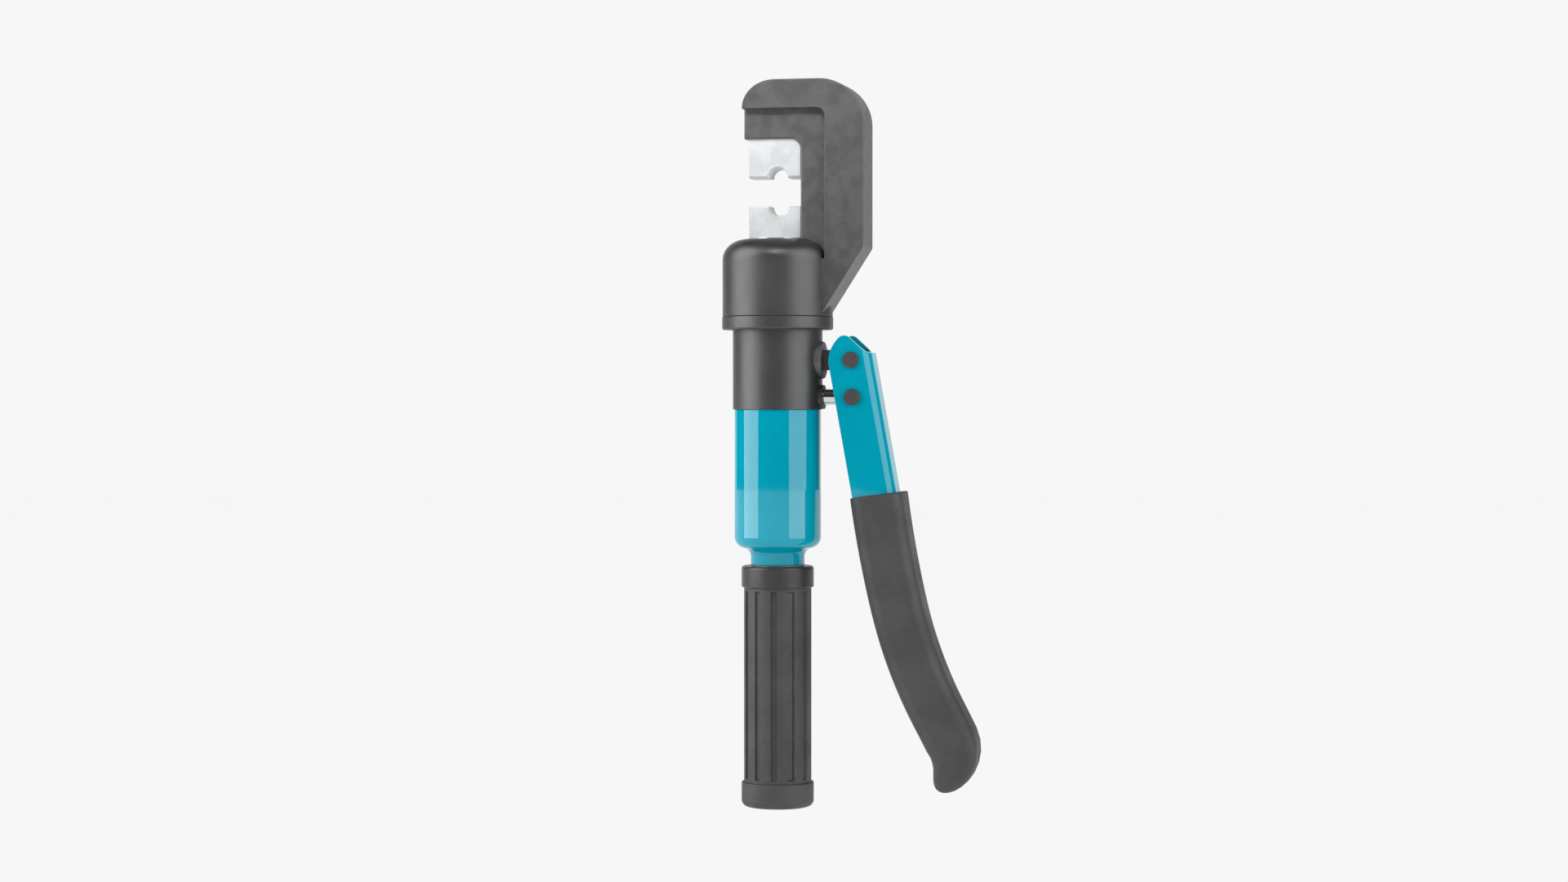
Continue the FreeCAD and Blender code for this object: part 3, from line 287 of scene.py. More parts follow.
def make_fine_grain():
    """Height of a fine even grain, as of sprayed paint, moulded plastic or blasted metal."""
    group, inside, outside = node_group("fine_grain", [("Size", 0.001), ("Depth", 0.00001)], ["Height"])
    scale = math_node(group, "DIVIDE", 1.0, inside.outputs["Size"])
    grain = noise_node(group, object_coordinates(group), scale, 3.0, 0.55)
    height = math_node(group, "MULTIPLY", grain, inside.outputs["Depth"])
    group.links.new(height, outside.inputs["Height"])
    return group


EDGE_WEAR = make_edge_wear()
SMUDGES = make_smudges()
FINE_GRAIN = make_fine_grain()


def use_group(tree, group, **values):
    node = tree.nodes.new("ShaderNodeGroup")
    node.node_tree = group
    for socket, value in values.items():
        node.inputs[socket.replace("_", " ")].default_value = value
    return node


def blend_colours(tree, fac, first, second):
    """Mixes two colours, each a constant or a socket, by a mask."""
    mix = tree.nodes.new("ShaderNodeMix")
    mix.data_type = "RGBA"
    tree.links.new(fac, mix.inputs["Factor"])
    for socket, value in ((mix.inputs[6], first), (mix.inputs[7], second)):
        if isinstance(value, tuple):
            socket.default_value = value
        else:
            tree.links.new(value, socket)
    return mix.outputs[2]


def blend_values(tree, fac, first, second):
    node = tree.nodes.new("ShaderNodeMapRange")
    node.inputs["To Min"].default_value = first
    node.inputs["To Max"].default_value = second
    tree.links.new(fac, node.inputs["Value"])
    return node.outputs["Result"]


def add_bump(tree, shader, height, strength=1.0):
    bump = tree.nodes.new("ShaderNodeBump")
    bump.inputs["Strength"].default_value = strength
    bump.inputs["Distance"].default_value = 1.0
    tree.links.new(height, bump.inputs["Height"])
    tree.links.new(bump.outputs["Normal"], shader.inputs["Normal"])
    return bump


def new_material(name):
    material = bpy.data.materials.new(name)
    material.use_nodes = True
    return material, material.node_tree, material.node_tree.nodes["Principled BSDF"]


def sprayed_enamel(name, colour, smudged, rough_low, rough_high, wear):
    material, tree, shader = new_material(name)
    smudges = use_group(tree, SMUDGES, Size=SMUDGE_SIZE)
    edges = use_group(tree, EDGE_WEAR, Radius=WEAR_WIDTH, Break_up=WEAR_BREAK_UP, Amount=wear)
    grain = use_group(tree, FINE_GRAIN, Size=PEEL_SIZE, Depth=PEEL_DEPTH)
    paint = blend_colours(tree, smudges.outputs["Mask"], colour, smudged)
    coat = blend_colours(tree, edges.outputs["Mask"], paint, BARE_EDGE)
    roughness = blend_values(tree, smudges.outputs["Mask"], rough_low, rough_high)
    tree.links.new(coat, shader.inputs["Base Color"])
    tree.links.new(roughness, shader.inputs["Roughness"])
    shader.inputs["Specular IOR Level"].default_value = 1.0
    add_bump(tree, shader, grain.outputs["Height"])
    return material


def finish_node(name, material):
    """Gives a CAD piece, whose shape is right as it is, its real finish."""
    mesh = frame["nodes"][name].data
    mesh.materials.clear()
    mesh.materials.append(material)


satin_black = sprayed_enamel("satin_black", ENAMEL_BLACK, ENAMEL_SMUDGE, rough_low=0.40, rough_high=0.48,
                             wear=0.5)
finish_node("barrel", satin_black)

# ---- Retaining collar
# A turned steel ring, screwed into the skirt from below with a fine joint line between them.
# Its lower rim is rounded and its bore turns on the barrel.
COLLAR_RIM = 0.9 * MM
JOINT_BREAK = 0.4 * MM
TURN_STEPS = 160
NEAR = 0.01 * MM
COLLAR_PLAY = 0.08 * MM
COLLAR_SPIGOT_R = 22.6 * MM


def lathe(section, steps=TURN_STEPS):
    """Spins a closed section of (radius, height) corners once round the tool's axis."""
    bm = bmesh.new()
    ring = [bm.verts.new((radius, 0.0, height)) for radius, height in section]
    for first, second in zip(ring, ring[1:] + ring[:1]):
        bm.edges.new((first, second))
    bmesh.ops.spin(bm, geom=bm.verts[:] + bm.edges[:], cent=(0, 0, 0), axis=(0, 0, 1),
                   angle=2 * math.pi, steps=steps, use_merge=True)
    bmesh.ops.remove_doubles(bm, verts=bm.verts, dist=1e-6)
    bmesh.ops.recalc_face_normals(bm, faces=bm.faces)
    return bm


def round_over(bm, width, chosen, segments=4, from_deg=25.0):
    """Rounds the sharp edges whose middle the test accepts."""
    sharp = []
    for edge in bm.edges:
        if len(edge.link_faces) == 2 and edge.calc_face_angle() > math.radians(from_deg):
            if chosen((edge.verts[0].co + edge.verts[1].co) / 2):
                sharp.append(edge)
    bmesh.ops.bevel(bm, geom=sharp, offset=width, segments=segments, profile=0.5, affect="EDGES",
                    clamp_overlap=True, material=-1)


def on_rim(z, radius):
    """The test for round_over that accepts a turned piece's outer edge at a height."""
    return lambda at: abs(at.z - z) < NEAR and at.xy.length > radius - 10 * NEAR


def piece(bm, name, body, slot, materials, *replaced, sharp_deg=32.0):
    """Makes the finished mesh an object on its body, in place of the CAD pieces it stands for."""
    mesh = bpy.data.meshes.new(name)
    bm.to_mesh(mesh)
    bm.free()
    mesh.shade_smooth()
    mesh.set_sharp_from_angle(angle=math.radians(sharp_deg))
    for material in materials:
        mesh.materials.append(material)
    thing = link(name, mesh)
    flats = thing.modifiers.new("flat_faces", "WEIGHTED_NORMAL")
    flats.keep_sharp = True
    flats.weight = 80
    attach(thing, body)
    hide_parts(*replaced)
    return thing


def radius_of(node):
    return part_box(node)[1].y


collar_low, collar_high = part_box("retaining_collar")
head_low, head_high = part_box("head_frame")
SKIRT_R = radius_of("head_frame")
COLLAR_R = radius_of("retaining_collar")
COLLAR_BORE = BARREL_R + COLLAR_PLAY


def collar():
    bm = lathe([(COLLAR_BORE, collar_low.z), (COLLAR_R, collar_low.z), (COLLAR_R, head_low.z),
                (COLLAR_SPIGOT_R, head_low.z), (COLLAR_SPIGOT_R, collar_high.z),
                (COLLAR_BORE, collar_high.z)])
    round_over(bm, COLLAR_RIM, on_rim(collar_low.z, COLLAR_R))
    round_over(bm, JOINT_BREAK, on_rim(head_low.z, COLLAR_R))
    piece(bm, "retaining_collar_turned", "head", "black_enamel", [satin_black], "retaining_collar")


collar()

# ---- Head
# A steel forging in one piece: a round skirt over the barrel, and a C-shaped jaw that grows out of its
# side as a thick band with a thinner web inside. The jaw keeps its forged skin with a few small pits, the
# skirt is turned smooth, and all of it is sprayed satin grey-black.
JAW_LEFT = -13.8 * MM
RAM_BORE = 16.05 * MM
JAW_T = 22.0 * MM
WEB_T = 15.0 * MM
WEB_DEEP = 13.0 * MM
BAND_INNER_X = 23.2 * MM
THROAT_X = 11.8 * MM
SLOPE_TOP_DROP = 3.9 * MM
SLOPE_END_X = 22.3 * MM
SLOPE_END_RISE = 1.7 * MM
NOSE_W = 14.5 * MM
NOSE_H = 12.2 * MM
BACK_R = 20.0 * MM
BAND_INNER_R = 3.6 * MM
WEB_INNER_R = 4.5 * MM
WEB_SETBACK = 0.3 * MM
BAND_ROUND = 1.3 * MM
WEB_ROUND = 0.9 * MM
SKIRT_TOP_DROP = 9.0 * MM
SKIRT_TOP_W = 10.5 * MM
SKIRT_WALL = 2.5 * MM
PLATE_H = 6.5 * MM
ROD_HOLE = 11.05 * MM
COLLAR_THREAD_H = 2.5 * MM
RAM_TONGUE_H = 4.9 * MM
DIE_PLAY = 0.05 * MM
WEB_INTO_BAND = 2.0 * MM
CUT_PAST = 5.0 * MM
TONGUE_NECK = (5.0 * MM, -3.0 * MM, 1.0 * MM)   # width, then bottom and top from the jaw's underside
TONGUE_HEAD = (8.0 * MM, -4.6 * MM, -2.0 * MM)
TONGUE_FRONT = 3.5 * MM
FORGED_GREY = (0.052, 0.052, 0.053, 1.0)
FORGED_LIGHT = (0.068, 0.068, 0.069, 1.0)
PIT_DARK = (0.018, 0.018, 0.018, 1.0)
PITS_PER_METRE = 75.0
TOP_Z = head_high.z
SKIRT_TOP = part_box("ram")[1].z - RAM_TONGUE_H
JAW_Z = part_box("upper_die")[1].z + DIE_PLAY
BAND_Z = JAW_Z + WEB_DEEP


def make_forged_skin():
    """Height and pits of a forged or cast skin: a fine grain on shallow lumps, with a few pinholes."""
    group, inside, outside = node_group(
        "forged_skin", [("Grain", 0.0008), ("Lumps", 0.006), ("Depth", 0.00005)],
        ["Height", "Pits", "Mottle"])
    where = object_coordinates(group)
    grain = noise_node(group, where, math_node(group, "DIVIDE", 1.0, inside.outputs["Grain"]), 4.0, 0.62)
    lumps = noise_node(group, where, math_node(group, "DIVIDE", 1.0, inside.outputs["Lumps"]), 2.0, 0.5)
    cells = group.nodes.new("ShaderNodeTexVoronoi")
    cells.inputs["Scale"].default_value = PITS_PER_METRE
    group.links.new(where, cells.inputs["Vector"])
    picked = group.nodes.new("ShaderNodeSeparateColor")
    group.links.new(cells.outputs["Color"], picked.inputs["Color"])
    near = range_node(group, cells.outputs["Distance"], 0.055, 0.02)
    rare = range_node(group, picked.outputs["Red"], 0.55, 0.6)
    pits = math_node(group, "MULTIPLY", near, rare)
    skin = math_node(group, "ADD", math_node(group, "MULTIPLY", grain, 0.6),
                     math_node(group, "MULTIPLY", lumps, 1.6))
    skin = math_node(group, "SUBTRACT", skin, math_node(group, "MULTIPLY", pits, 2.5))
    height = math_node(group, "MULTIPLY", skin, inside.outputs["Depth"])
    group.links.new(height, outside.inputs["Height"])
    group.links.new(pits, outside.inputs["Pits"])
    group.links.new(range_node(group, lumps, 0.35, 0.65), outside.inputs["Mottle"])
    return group


FORGED_SKIN = make_forged_skin()


def forged_finish():
    material, tree, shader = new_material("forged_grey")
    skin = use_group(tree, FORGED_SKIN, Grain=0.6 * MM, Lumps=4.5 * MM, Depth=0.10 * MM)
    edges = use_group(tree, EDGE_WEAR, Radius=0.9 * MM, Break_up=420.0, Amount=0.28)
    colour = blend_colours(tree, skin.outputs["Mottle"], FORGED_GREY, FORGED_LIGHT)
    colour = blend_colours(tree, edges.outputs["Mask"], colour, BARE_EDGE)
    colour = blend_colours(tree, skin.outputs["Pits"], colour, PIT_DARK)
    tree.links.new(colour, shader.inputs["Base Color"])
    tree.links.new(blend_values(tree, skin.outputs["Mottle"], 0.42, 0.5), shader.inputs["Roughness"])
    shader.inputs["Specular IOR Level"].default_value = 0.7
    add_bump(tree, shader, skin.outputs["Height"])
    return material


def arc(cx, cz, rx, rz, from_deg, to_deg, count):
    """Points on a quarter of an ellipse or a circle, ends included."""
    points = []
    for index in range(count + 1):
        turn = math.radians(from_deg + (to_deg - from_deg) * index / count)
        points.append((cx + rx * math.cos(turn), cz + rz * math.sin(turn)))
    return points


def pull(bm, face, way):
    """Extrudes a flat face into a closed solid."""
    pulled = bmesh.ops.extrude_face_region(bm, geom=[face])["geom"]
    moved = [part for part in pulled if isinstance(part, bmesh.types.BMVert)]
    bmesh.ops.translate(bm, vec=way, verts=moved)
    bmesh.ops.recalc_face_normals(bm, faces=bm.faces)


def slab(outline, half):
    """A plate from y = -half to y = +half with the given side outline."""
    bm = bmesh.new()
    face = bm.faces.new([bm.verts.new((x, -half, z)) for x, z in outline])
    pull(bm, face, (0, 2 * half, 0))
    return bm


def round_faces(bm, width, half, above, segments=4):
    """Rounds a plate's two outlines, above a height."""
    rim = []
    for edge in bm.edges:
        first, second = (vert.co for vert in edge.verts)
        flat = abs(abs(first.y) - half) < 1e-6 and abs(first.y - second.y) < 1e-6
        if flat and max(first.z, second.z) > above and len(edge.link_faces) == 2:
            rim.append(edge)
    bmesh.ops.bevel(bm, geom=rim, offset=width, segments=segments, profile=0.5, affect="EDGES",
                    clamp_overlap=True, material=-1)


def shape_object(bm, name, material=None):
    """A helper object for the boolean cuts, not part of the tool."""
    mesh = bpy.data.meshes.new(name)
    bm.to_mesh(mesh)
    bm.free()
    if material:
        mesh.materials.append(material)
    return link(name, mesh)


def combine(base, steps):
    """Applies the boolean steps (operation, tool) to the base, and gives the mesh and its materials."""
    for operation, tool in steps:
        cut = base.modifiers.new(operation.lower(), "BOOLEAN")
        cut.operation = operation
        cut.solver = "EXACT"
        cut.object = tool
        cut.material_mode = "TRANSFER"
    bpy.context.view_layer.update()
    made = bpy.data.meshes.new_from_object(base.evaluated_get(bpy.context.evaluated_depsgraph_get()))
    bm = bmesh.new()
    bm.from_mesh(made)
    bmesh.ops.remove_doubles(bm, verts=bm.verts, dist=2e-6)
    bmesh.ops.dissolve_degenerate(bm, edges=bm.edges, dist=2e-6)
    for thing in [base] + [tool for operation, tool in steps]:
        bpy.data.objects.remove(thing)
    return bm, list(made.materials)


def jaw_band():
    back_x = head_high.x - BACK_R
    slope_top = SKIRT_TOP - SLOPE_TOP_DROP
    slope_end = head_low.z + SLOPE_END_RISE
    outline = [(JAW_LEFT, BAND_Z)]
    outline += arc(JAW_LEFT + NOSE_W, TOP_Z - NOSE_H, NOSE_W, NOSE_H, 180, 90, 18)
    outline += arc(back_x, TOP_Z - BACK_R, BACK_R, BACK_R, 90, 0, 24)
    outline += [(head_high.x, slope_top), (SLOPE_END_X, slope_end), (RAM_BORE, slope_end),
                (RAM_BORE, SKIRT_TOP - SKIRT_TOP_DROP), (BAND_INNER_X, SKIRT_TOP - SKIRT_TOP_DROP)]
    outline += arc(BAND_INNER_X - BAND_INNER_R, BAND_Z - BAND_INNER_R, BAND_INNER_R, BAND_INNER_R,
                   0, 90, 8)
    bm = slab(outline, JAW_T / 2)
    round_faces(bm, BAND_ROUND, JAW_T / 2, SKIRT_TOP)
    return bm


def jaw_web():
    left = JAW_LEFT + WEB_SETBACK
    right = BAND_INNER_X + WEB_INTO_BAND
    top = BAND_Z + WEB_INTO_BAND
    base = SKIRT_TOP - SKIRT_TOP_DROP
    outline = [(left, JAW_Z), (left, top), (right, top), (right, base), (THROAT_X, base)]
    outline += arc(THROAT_X - WEB_INNER_R, JAW_Z - WEB_INNER_R, WEB_INNER_R, WEB_INNER_R, 0, 90, 8)
    bm = slab(outline, WEB_T / 2)
    round_faces(bm, WEB_ROUND, WEB_T / 2, SKIRT_TOP)
    return bm


def skirt_blank():
    flat_r = SKIRT_R - SKIRT_TOP_W
    section = [(0.0, head_low.z), (SKIRT_R, head_low.z)]
    section += arc(flat_r, SKIRT_TOP - SKIRT_TOP_DROP, SKIRT_TOP_W, SKIRT_TOP_DROP, 0, 90, 14)
    section += [(0.0, SKIRT_TOP)]
    bm = lathe(section)
    round_over(bm, JOINT_BREAK, on_rim(head_low.z, SKIRT_R))
    return bm


def bore_blank():
    bore = SKIRT_R - SKIRT_WALL
    plate = SKIRT_TOP - PLATE_H
    step = head_low.z + COLLAR_THREAD_H
    below = head_low.z - CUT_PAST
    above = SKIRT_TOP + CUT_PAST
    return lathe([(0.0, below), (COLLAR_SPIGOT_R, below), (COLLAR_SPIGOT_R, step), (bore, step),
                  (bore, plate), (ROD_HOLE, plate), (ROD_HOLE, above), (0.0, above)])


def tongue_blank():
    """The T-shaped tongue that the upper die hangs on, under the jaw."""
    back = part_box("upper_die")[1].y
    bm = bmesh.new()
    for width, low, high in (TONGUE_NECK, TONGUE_HEAD):
        place = Matrix.Translation((0.0, (back - TONGUE_FRONT) / 2, JAW_Z + (low + high) / 2))
        size = Matrix.Diagonal((width, back + TONGUE_FRONT, high - low, 1.0))
        bmesh.ops.create_cube(bm, size=1.0, matrix=place @ size)
    return bm


def head():
    base = shape_object(skirt_blank(), "skirt_blank", satin_black)
    steps = [("UNION", shape_object(jaw_band(), "band_blank", forged_grey)),
             ("UNION", shape_object(jaw_web(), "web_blank", forged_grey)),
             ("DIFFERENCE", shape_object(bore_blank(), "bore_blank", satin_black)),
             ("UNION", shape_object(tongue_blank(), "tongue_blank", forged_grey))]
    bm, materials = combine(base, steps)
    piece(bm, "head_forging", "head", "head_casting", materials, "head_frame")


forged_grey = forged_finish()
head()

# ---- Dies
# Two hardened blocks with half-round nests, ground bright, with small bright chamfers round the nest.
# Each slides off its T-shaped tongue to the front, against a spring ball.
DIE_STEEL = (0.60, 0.618, 0.625, 1.0)
DIE_SHADE = (0.50, 0.52, 0.53, 1.0)
SCRATCH_LAY = (1.0, 1.0, 14.0)
SCRATCHES_PER_METRE = 900.0
SCRATCH_DEPTH = 0.006 * MM


def ground_steel(name, colour, shade, rough_low, rough_high, metallic):
    """Ground metal: fine scratches along one way, with faint cloudy staining."""
    material, tree, shader = new_material(name)
    stretch = tree.nodes.new("ShaderNodeMapping")
    stretch.inputs["Scale"].default_value = SCRATCH_LAY
    tree.links.new(object_coordinates(tree), stretch.inputs["Vector"])
    scratches = noise_node(tree, stretch.outputs["Vector"], SCRATCHES_PER_METRE, 4.0, 0.6)
    smudges = use_group(tree, SMUDGES, Size=9.0 * MM)
    stained = blend_colours(tree, smudges.outputs["Mask"], colour, shade)
    tree.links.new(stained, shader.inputs["Base Color"])
    tree.links.new(blend_values(tree, scratches, rough_low, rough_high), shader.inputs["Roughness"])
    shader.inputs["Metallic"].default_value = metallic
    add_bump(tree, shader, math_node(tree, "MULTIPLY", scratches, SCRATCH_DEPTH))
    return material


bright_die = ground_steel("bright_die", DIE_STEEL, DIE_SHADE, 0.32, 0.5, metallic=0.1)
finish_node("upper_die", bright_die)
finish_node("lower_die", bright_die)

# ---- Ram and what is round it
# A hard-chromed rod with its piston, two seals and the wiper in the head. The valves, pins, clips, seals
# and handle parts inside the tool take their finishes here too.
CHROME, CHROME_SHADE = (0.72, 0.73, 0.75, 1.0), (0.64, 0.65, 0.67, 1.0)
STEEL, STEEL_SHADE = (0.42, 0.42, 0.44, 1.0), (0.33, 0.33, 0.35, 1.0)
BLACKENED, BLACKENED_SHADE = (0.055, 0.055, 0.057, 1.0), (0.075, 0.073, 0.07, 1.0)
WIRE, WIRE_SHADE = (0.24, 0.24, 0.26, 1.0), (0.17, 0.17, 0.18, 1.0)
BRASS, BRASS_SHADE = (0.60, 0.42, 0.16, 1.0), (0.48, 0.33, 0.13, 1.0)
SEAL_BLACK, SEAL_WORN = (0.012, 0.012, 0.012, 1.0), (0.02, 0.02, 0.02, 1.0)
PLASTIC_CREAM, PLASTIC_WORN = (0.62, 0.60, 0.52, 1.0), (0.56, 0.54, 0.46, 1.0)
chrome = ground_steel("ground_chrome", CHROME, CHROME_SHADE, 0.12, 0.22, metallic=1.0)
turned_steel = ground_steel("turned_steel", STEEL, STEEL_SHADE, 0.28, 0.42, metallic=1.0)
blackened = ground_steel("blackened_steel", BLACKENED, BLACKENED_SHADE, 0.45, 0.6, metallic=0.25)
spring_wire = ground_steel("oiled_spring_wire", WIRE, WIRE_SHADE, 0.3, 0.42, metallic=1.0)
brass = ground_steel("turned_brass", BRASS, BRASS_SHADE, 0.25, 0.4, metallic=1.0)


def moulded(name, colour, worn, rough_low, rough_high, grain_size, grain_depth):
    """Moulded rubber or plastic with a fine tool texture and hand-polished patches."""
    material, tree, shader = new_material(name)
    smudges = use_group(tree, SMUDGES, Size=16.0 * MM)
    grain = use_group(tree, FINE_GRAIN, Size=grain_size, Depth=grain_depth)
    handled = blend_colours(tree, smudges.outputs["Mask"], colour, worn)
    roughness = blend_values(tree, smudges.outputs["Mask"], rough_high, rough_low)
    tree.links.new(handled, shader.inputs["Base Color"])
    tree.links.new(roughness, shader.inputs["Roughness"])
    add_bump(tree, shader, grain.outputs["Height"])
    return material


seal_rubber = moulded("seal_rubber", SEAL_BLACK, SEAL_WORN, 0.4, 0.55, 0.6 * MM, 0.01 * MM)
seal_plastic = moulded("seal_plastic", PLASTIC_CREAM, PLASTIC_WORN, 0.35, 0.5, 0.8 * MM, 0.01 * MM)
for finish, names in (
        (chrome, ("ram", "plunger", "upper_detent", "lower_detent", "suction_ball", "delivery_ball",
                  "release_ball", "relief_ball")),
        (turned_steel, ("fulcrum_spacers", "plunger_spacers", "handle_tube", "drive_hub", "drive_pins",
                        "bladder_plug", "bladder_clamps", "passage_plug", "release_spindle")),
        (spring_wire, ("suction_spring", "delivery_spring", "relief_spring", "handle_circlip",
                       "pin_clips")),
        (brass, ("suction_seat", "delivery_plug", "relief_screw", "suction_filter")),
        (seal_rubber, ("piston_seal", "rod_wiper", "swivel_seal", "housing_seal", "spindle_seal",
                       "oil_bladder")),
        (seal_plastic, ("backup_ring", "plunger_packing", "thrust_washer")),
        (blackened, ("fulcrum_pin", "plunger_pin", "gland_nut"))):
    for name in names:
        finish_node(name, finish)

# ---- Return spring
# Round spring wire wound in an open coil between the piston and the head's plate. It pulls the ram back,
# and its turns close up as the ram comes out, but this coil is built once at one length and is not
# squashed.
SPRING_WIRE_R = 1.2 * MM
SPRING_TURNS = 3.5
SPRING_STEPS = 168
SPRING_SIDES = 14


def return_spring():
    low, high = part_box("return_spring")
    start = Matrix.Translation((high.y - SPRING_WIRE_R, 0.0, low.z + SPRING_WIRE_R))
    rise = high.z - low.z - 2 * SPRING_WIRE_R
    bm = bmesh.new()
    bmesh.ops.create_circle(bm, cap_ends=False, segments=SPRING_SIDES, radius=SPRING_WIRE_R,
                            matrix=start @ Matrix.Rotation(math.pi / 2, 4, "X"))
    bmesh.ops.spin(bm, geom=bm.verts[:] + bm.edges[:], cent=(0, 0, 0), axis=(0, 0, 1),
                   dvec=(0, 0, rise / SPRING_STEPS), angle=2 * math.pi * SPRING_TURNS, steps=SPRING_STEPS)
    bmesh.ops.holes_fill(bm, edges=[edge for edge in bm.edges if edge.is_boundary])
    bmesh.ops.recalc_face_normals(bm, faces=bm.faces)
    spring = piece(bm, "ram_return_spring", "head", "spring_steel", [spring_wire], "return_spring")
    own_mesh(spring)


return_spring()

# ---- Reservoir housing
# A deep-drawn steel cup necked at the bottom, screwed up against the block's shoulder and finished in
# glossy teal enamel under a clear coat.
TEAL = (0.0, 0.350, 0.475, 1.0)
TEAL_DEEP = (0.0, 0.320, 0.440, 1.0)
HOUSING_WALL = 1.8 * MM
SHOULDER_R = 5.0 * MM
NECK_FILLET_R = 3.9 * MM
NECK_R = 11.9 * MM
SHOULDER_RISE = 12.4 * MM
FLOOR_T = 12.9 * MM
JOURNAL_R = 9.45 * MM
LIP_BREAK = 0.35 * MM
FOOT_BREAK = 0.4 * MM
housing_low, housing_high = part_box("reservoir_housing")
HOUSING_R = housing_high.y


def gloss_enamel(name, wear):
    """Teal enamel with a sharp clear coat over it, worn at the edges by the given amount."""
    material, tree, shader = new_material(name)
    smudges = use_group(tree, SMUDGES, Size=30.0 * MM)
    edges = use_group(tree, EDGE_WEAR, Radius=0.3 * MM, Break_up=900.0, Amount=wear)
    grain = use_group(tree, FINE_GRAIN, Size=2.6 * MM, Depth=0.006 * MM)
    paint = blend_colours(tree, smudges.outputs["Mask"], TEAL, TEAL_DEEP)
    coat = blend_colours(tree, edges.outputs["Mask"], paint, BARE_EDGE)
    tree.links.new(coat, shader.inputs["Base Color"])
    tree.links.new(blend_values(tree, smudges.outputs["Mask"], 0.24, 0.3), shader.inputs["Roughness"])
    shader.inputs["Specular IOR Level"].default_value = 0.0
    shader.inputs["Coat Weight"].default_value = 1.0
    shader.inputs["Coat Roughness"].default_value = 0.02
    add_bump(tree, shader, grain.outputs["Height"])
    return material


def housing():
    arc_z = housing_low.z + SHOULDER_RISE
    out_r = HOUSING_R - SHOULDER_R
    in_r = NECK_R + NECK_FILLET_R
    fillet_z = arc_z - math.sqrt((SHOULDER_R + NECK_FILLET_R) ** 2 - (in_r - out_r) ** 2)
    lean = math.degrees(math.atan2(fillet_z - arc_z, in_r - out_r))
    floor_z = housing_low.z + FLOOR_T
    section = [(JOURNAL_R, housing_low.z), (NECK_R, housing_low.z)]
    section += arc(in_r, fillet_z, NECK_FILLET_R, NECK_FILLET_R, 180, lean + 180, 12)
    section += arc(out_r, arc_z, SHOULDER_R, SHOULDER_R, lean, 0, 14)[1:]
    section += [(HOUSING_R, housing_high.z), (HOUSING_R - HOUSING_WALL, housing_high.z),
                (HOUSING_R - HOUSING_WALL, floor_z), (JOURNAL_R, floor_z)]
    bm = lathe(section)
    round_over(bm, LIP_BREAK, on_rim(housing_high.z, HOUSING_R))
    round_over(bm, FOOT_BREAK, on_rim(housing_low.z, NECK_R))
    enamel = gloss_enamel("gloss_teal", wear=0.35)
    piece(bm, "reservoir_cup", "tool_body", "teal_enamel", [enamel], "reservoir_housing")


housing()

# ---- Fixed grip: ring, fluted sleeve and end cap
# Moulded in tough black rubber over the steel tube. The ring and the cap are plain and rounded, and the
# sleeve between them has twelve shallow flutes that stop just short of both.
GRIP_BLACK = (0.047, 0.047, 0.049, 1.0)
GRIP_WORN = (0.060, 0.060, 0.062, 1.0)
RING_BLACK = (0.030, 0.030, 0.031, 1.0)
RING_WORN = (0.040, 0.040, 0.041, 1.0)
FLUTES = 12
STEPS_PER_FLUTE = 24
FLUTE_W = 2.7 * MM
FLUTE_EDGE = 0.24
FLUTE_DEEP = 0.95 * MM
FLUTE_START = math.radians(6.0)
FLUTE_STOP = 1.3 * MM
FLUTE_RUN_OUT = 0.7 * MM
RING_ROUND = 1.4 * MM
CAP_ROUND = 2.9 * MM
RIM_ROUND = 0.6 * MM
TUBE_R = 11.2 * MM
TUBE_BORE = 7.6 * MM
CAP_FLOOR = 4.0 * MM
CAP_SPIGOT = 11.0 * MM
grip_rubber = moulded("grip_rubber", GRIP_BLACK, GRIP_WORN, 0.5, 0.62, 0.45 * MM, 0.03 * MM)
ring_plastic = moulded("ring_plastic", RING_BLACK, RING_WORN, 0.33, 0.42, 0.6 * MM, 0.015 * MM)
ring_low, ring_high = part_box("grip_ring")
sleeve_low, sleeve_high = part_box("grip_sleeve")
cap_low, cap_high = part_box("grip_end_cap")
GRIP_R = ring_high.y
SLEEVE_R = 14.85 * MM


def grip_ring():
    bm = lathe([(TUBE_R, ring_low.z), (GRIP_R, ring_low.z), (GRIP_R, ring_high.z), (TUBE_R, ring_high.z)])
    round_over(bm, RING_ROUND, on_rim(ring_high.z, GRIP_R), 6)
    round_over(bm, RIM_ROUND, on_rim(ring_low.z, GRIP_R))
    piece(bm, "grip_top_ring", "turning_grip", "grip_plastic", [ring_plastic], "grip_ring")


def end_cap():
    bm = lathe([(0.0, cap_low.z), (GRIP_R, cap_low.z), (GRIP_R, cap_high.z), (TUBE_R, cap_high.z),
                (TUBE_R, CAP_FLOOR), (TUBE_BORE, CAP_FLOOR), (TUBE_BORE, CAP_SPIGOT), (0.0, CAP_SPIGOT)])
    round_over(bm, CAP_ROUND, on_rim(cap_low.z, GRIP_R), 8)
    round_over(bm, RIM_ROUND, on_rim(cap_high.z, GRIP_R))
    piece(bm, "grip_bottom_cap", "turning_grip", "grip_plastic", [grip_rubber], "grip_end_cap")


def flute_depth(turn, z):
    """How deep the sleeve's surface lies at a place round it and up it."""
    pitch = 2 * math.pi / FLUTES
    off = (turn - FLUTE_START + math.pi / 2 + pitch / 2) % pitch - pitch / 2
    across = abs(off) * SLEEVE_R / (FLUTE_W / 2)
    side = min(1.0, max(0.0, (1.0 + FLUTE_EDGE / 2 - across) / FLUTE_EDGE))
    end = min(z - sleeve_low.z, sleeve_high.z - z) - FLUTE_STOP
    run_out = min(1.0, max(0.0, end / FLUTE_RUN_OUT))
    return FLUTE_DEEP * side * side * (3 - 2 * side) * run_out


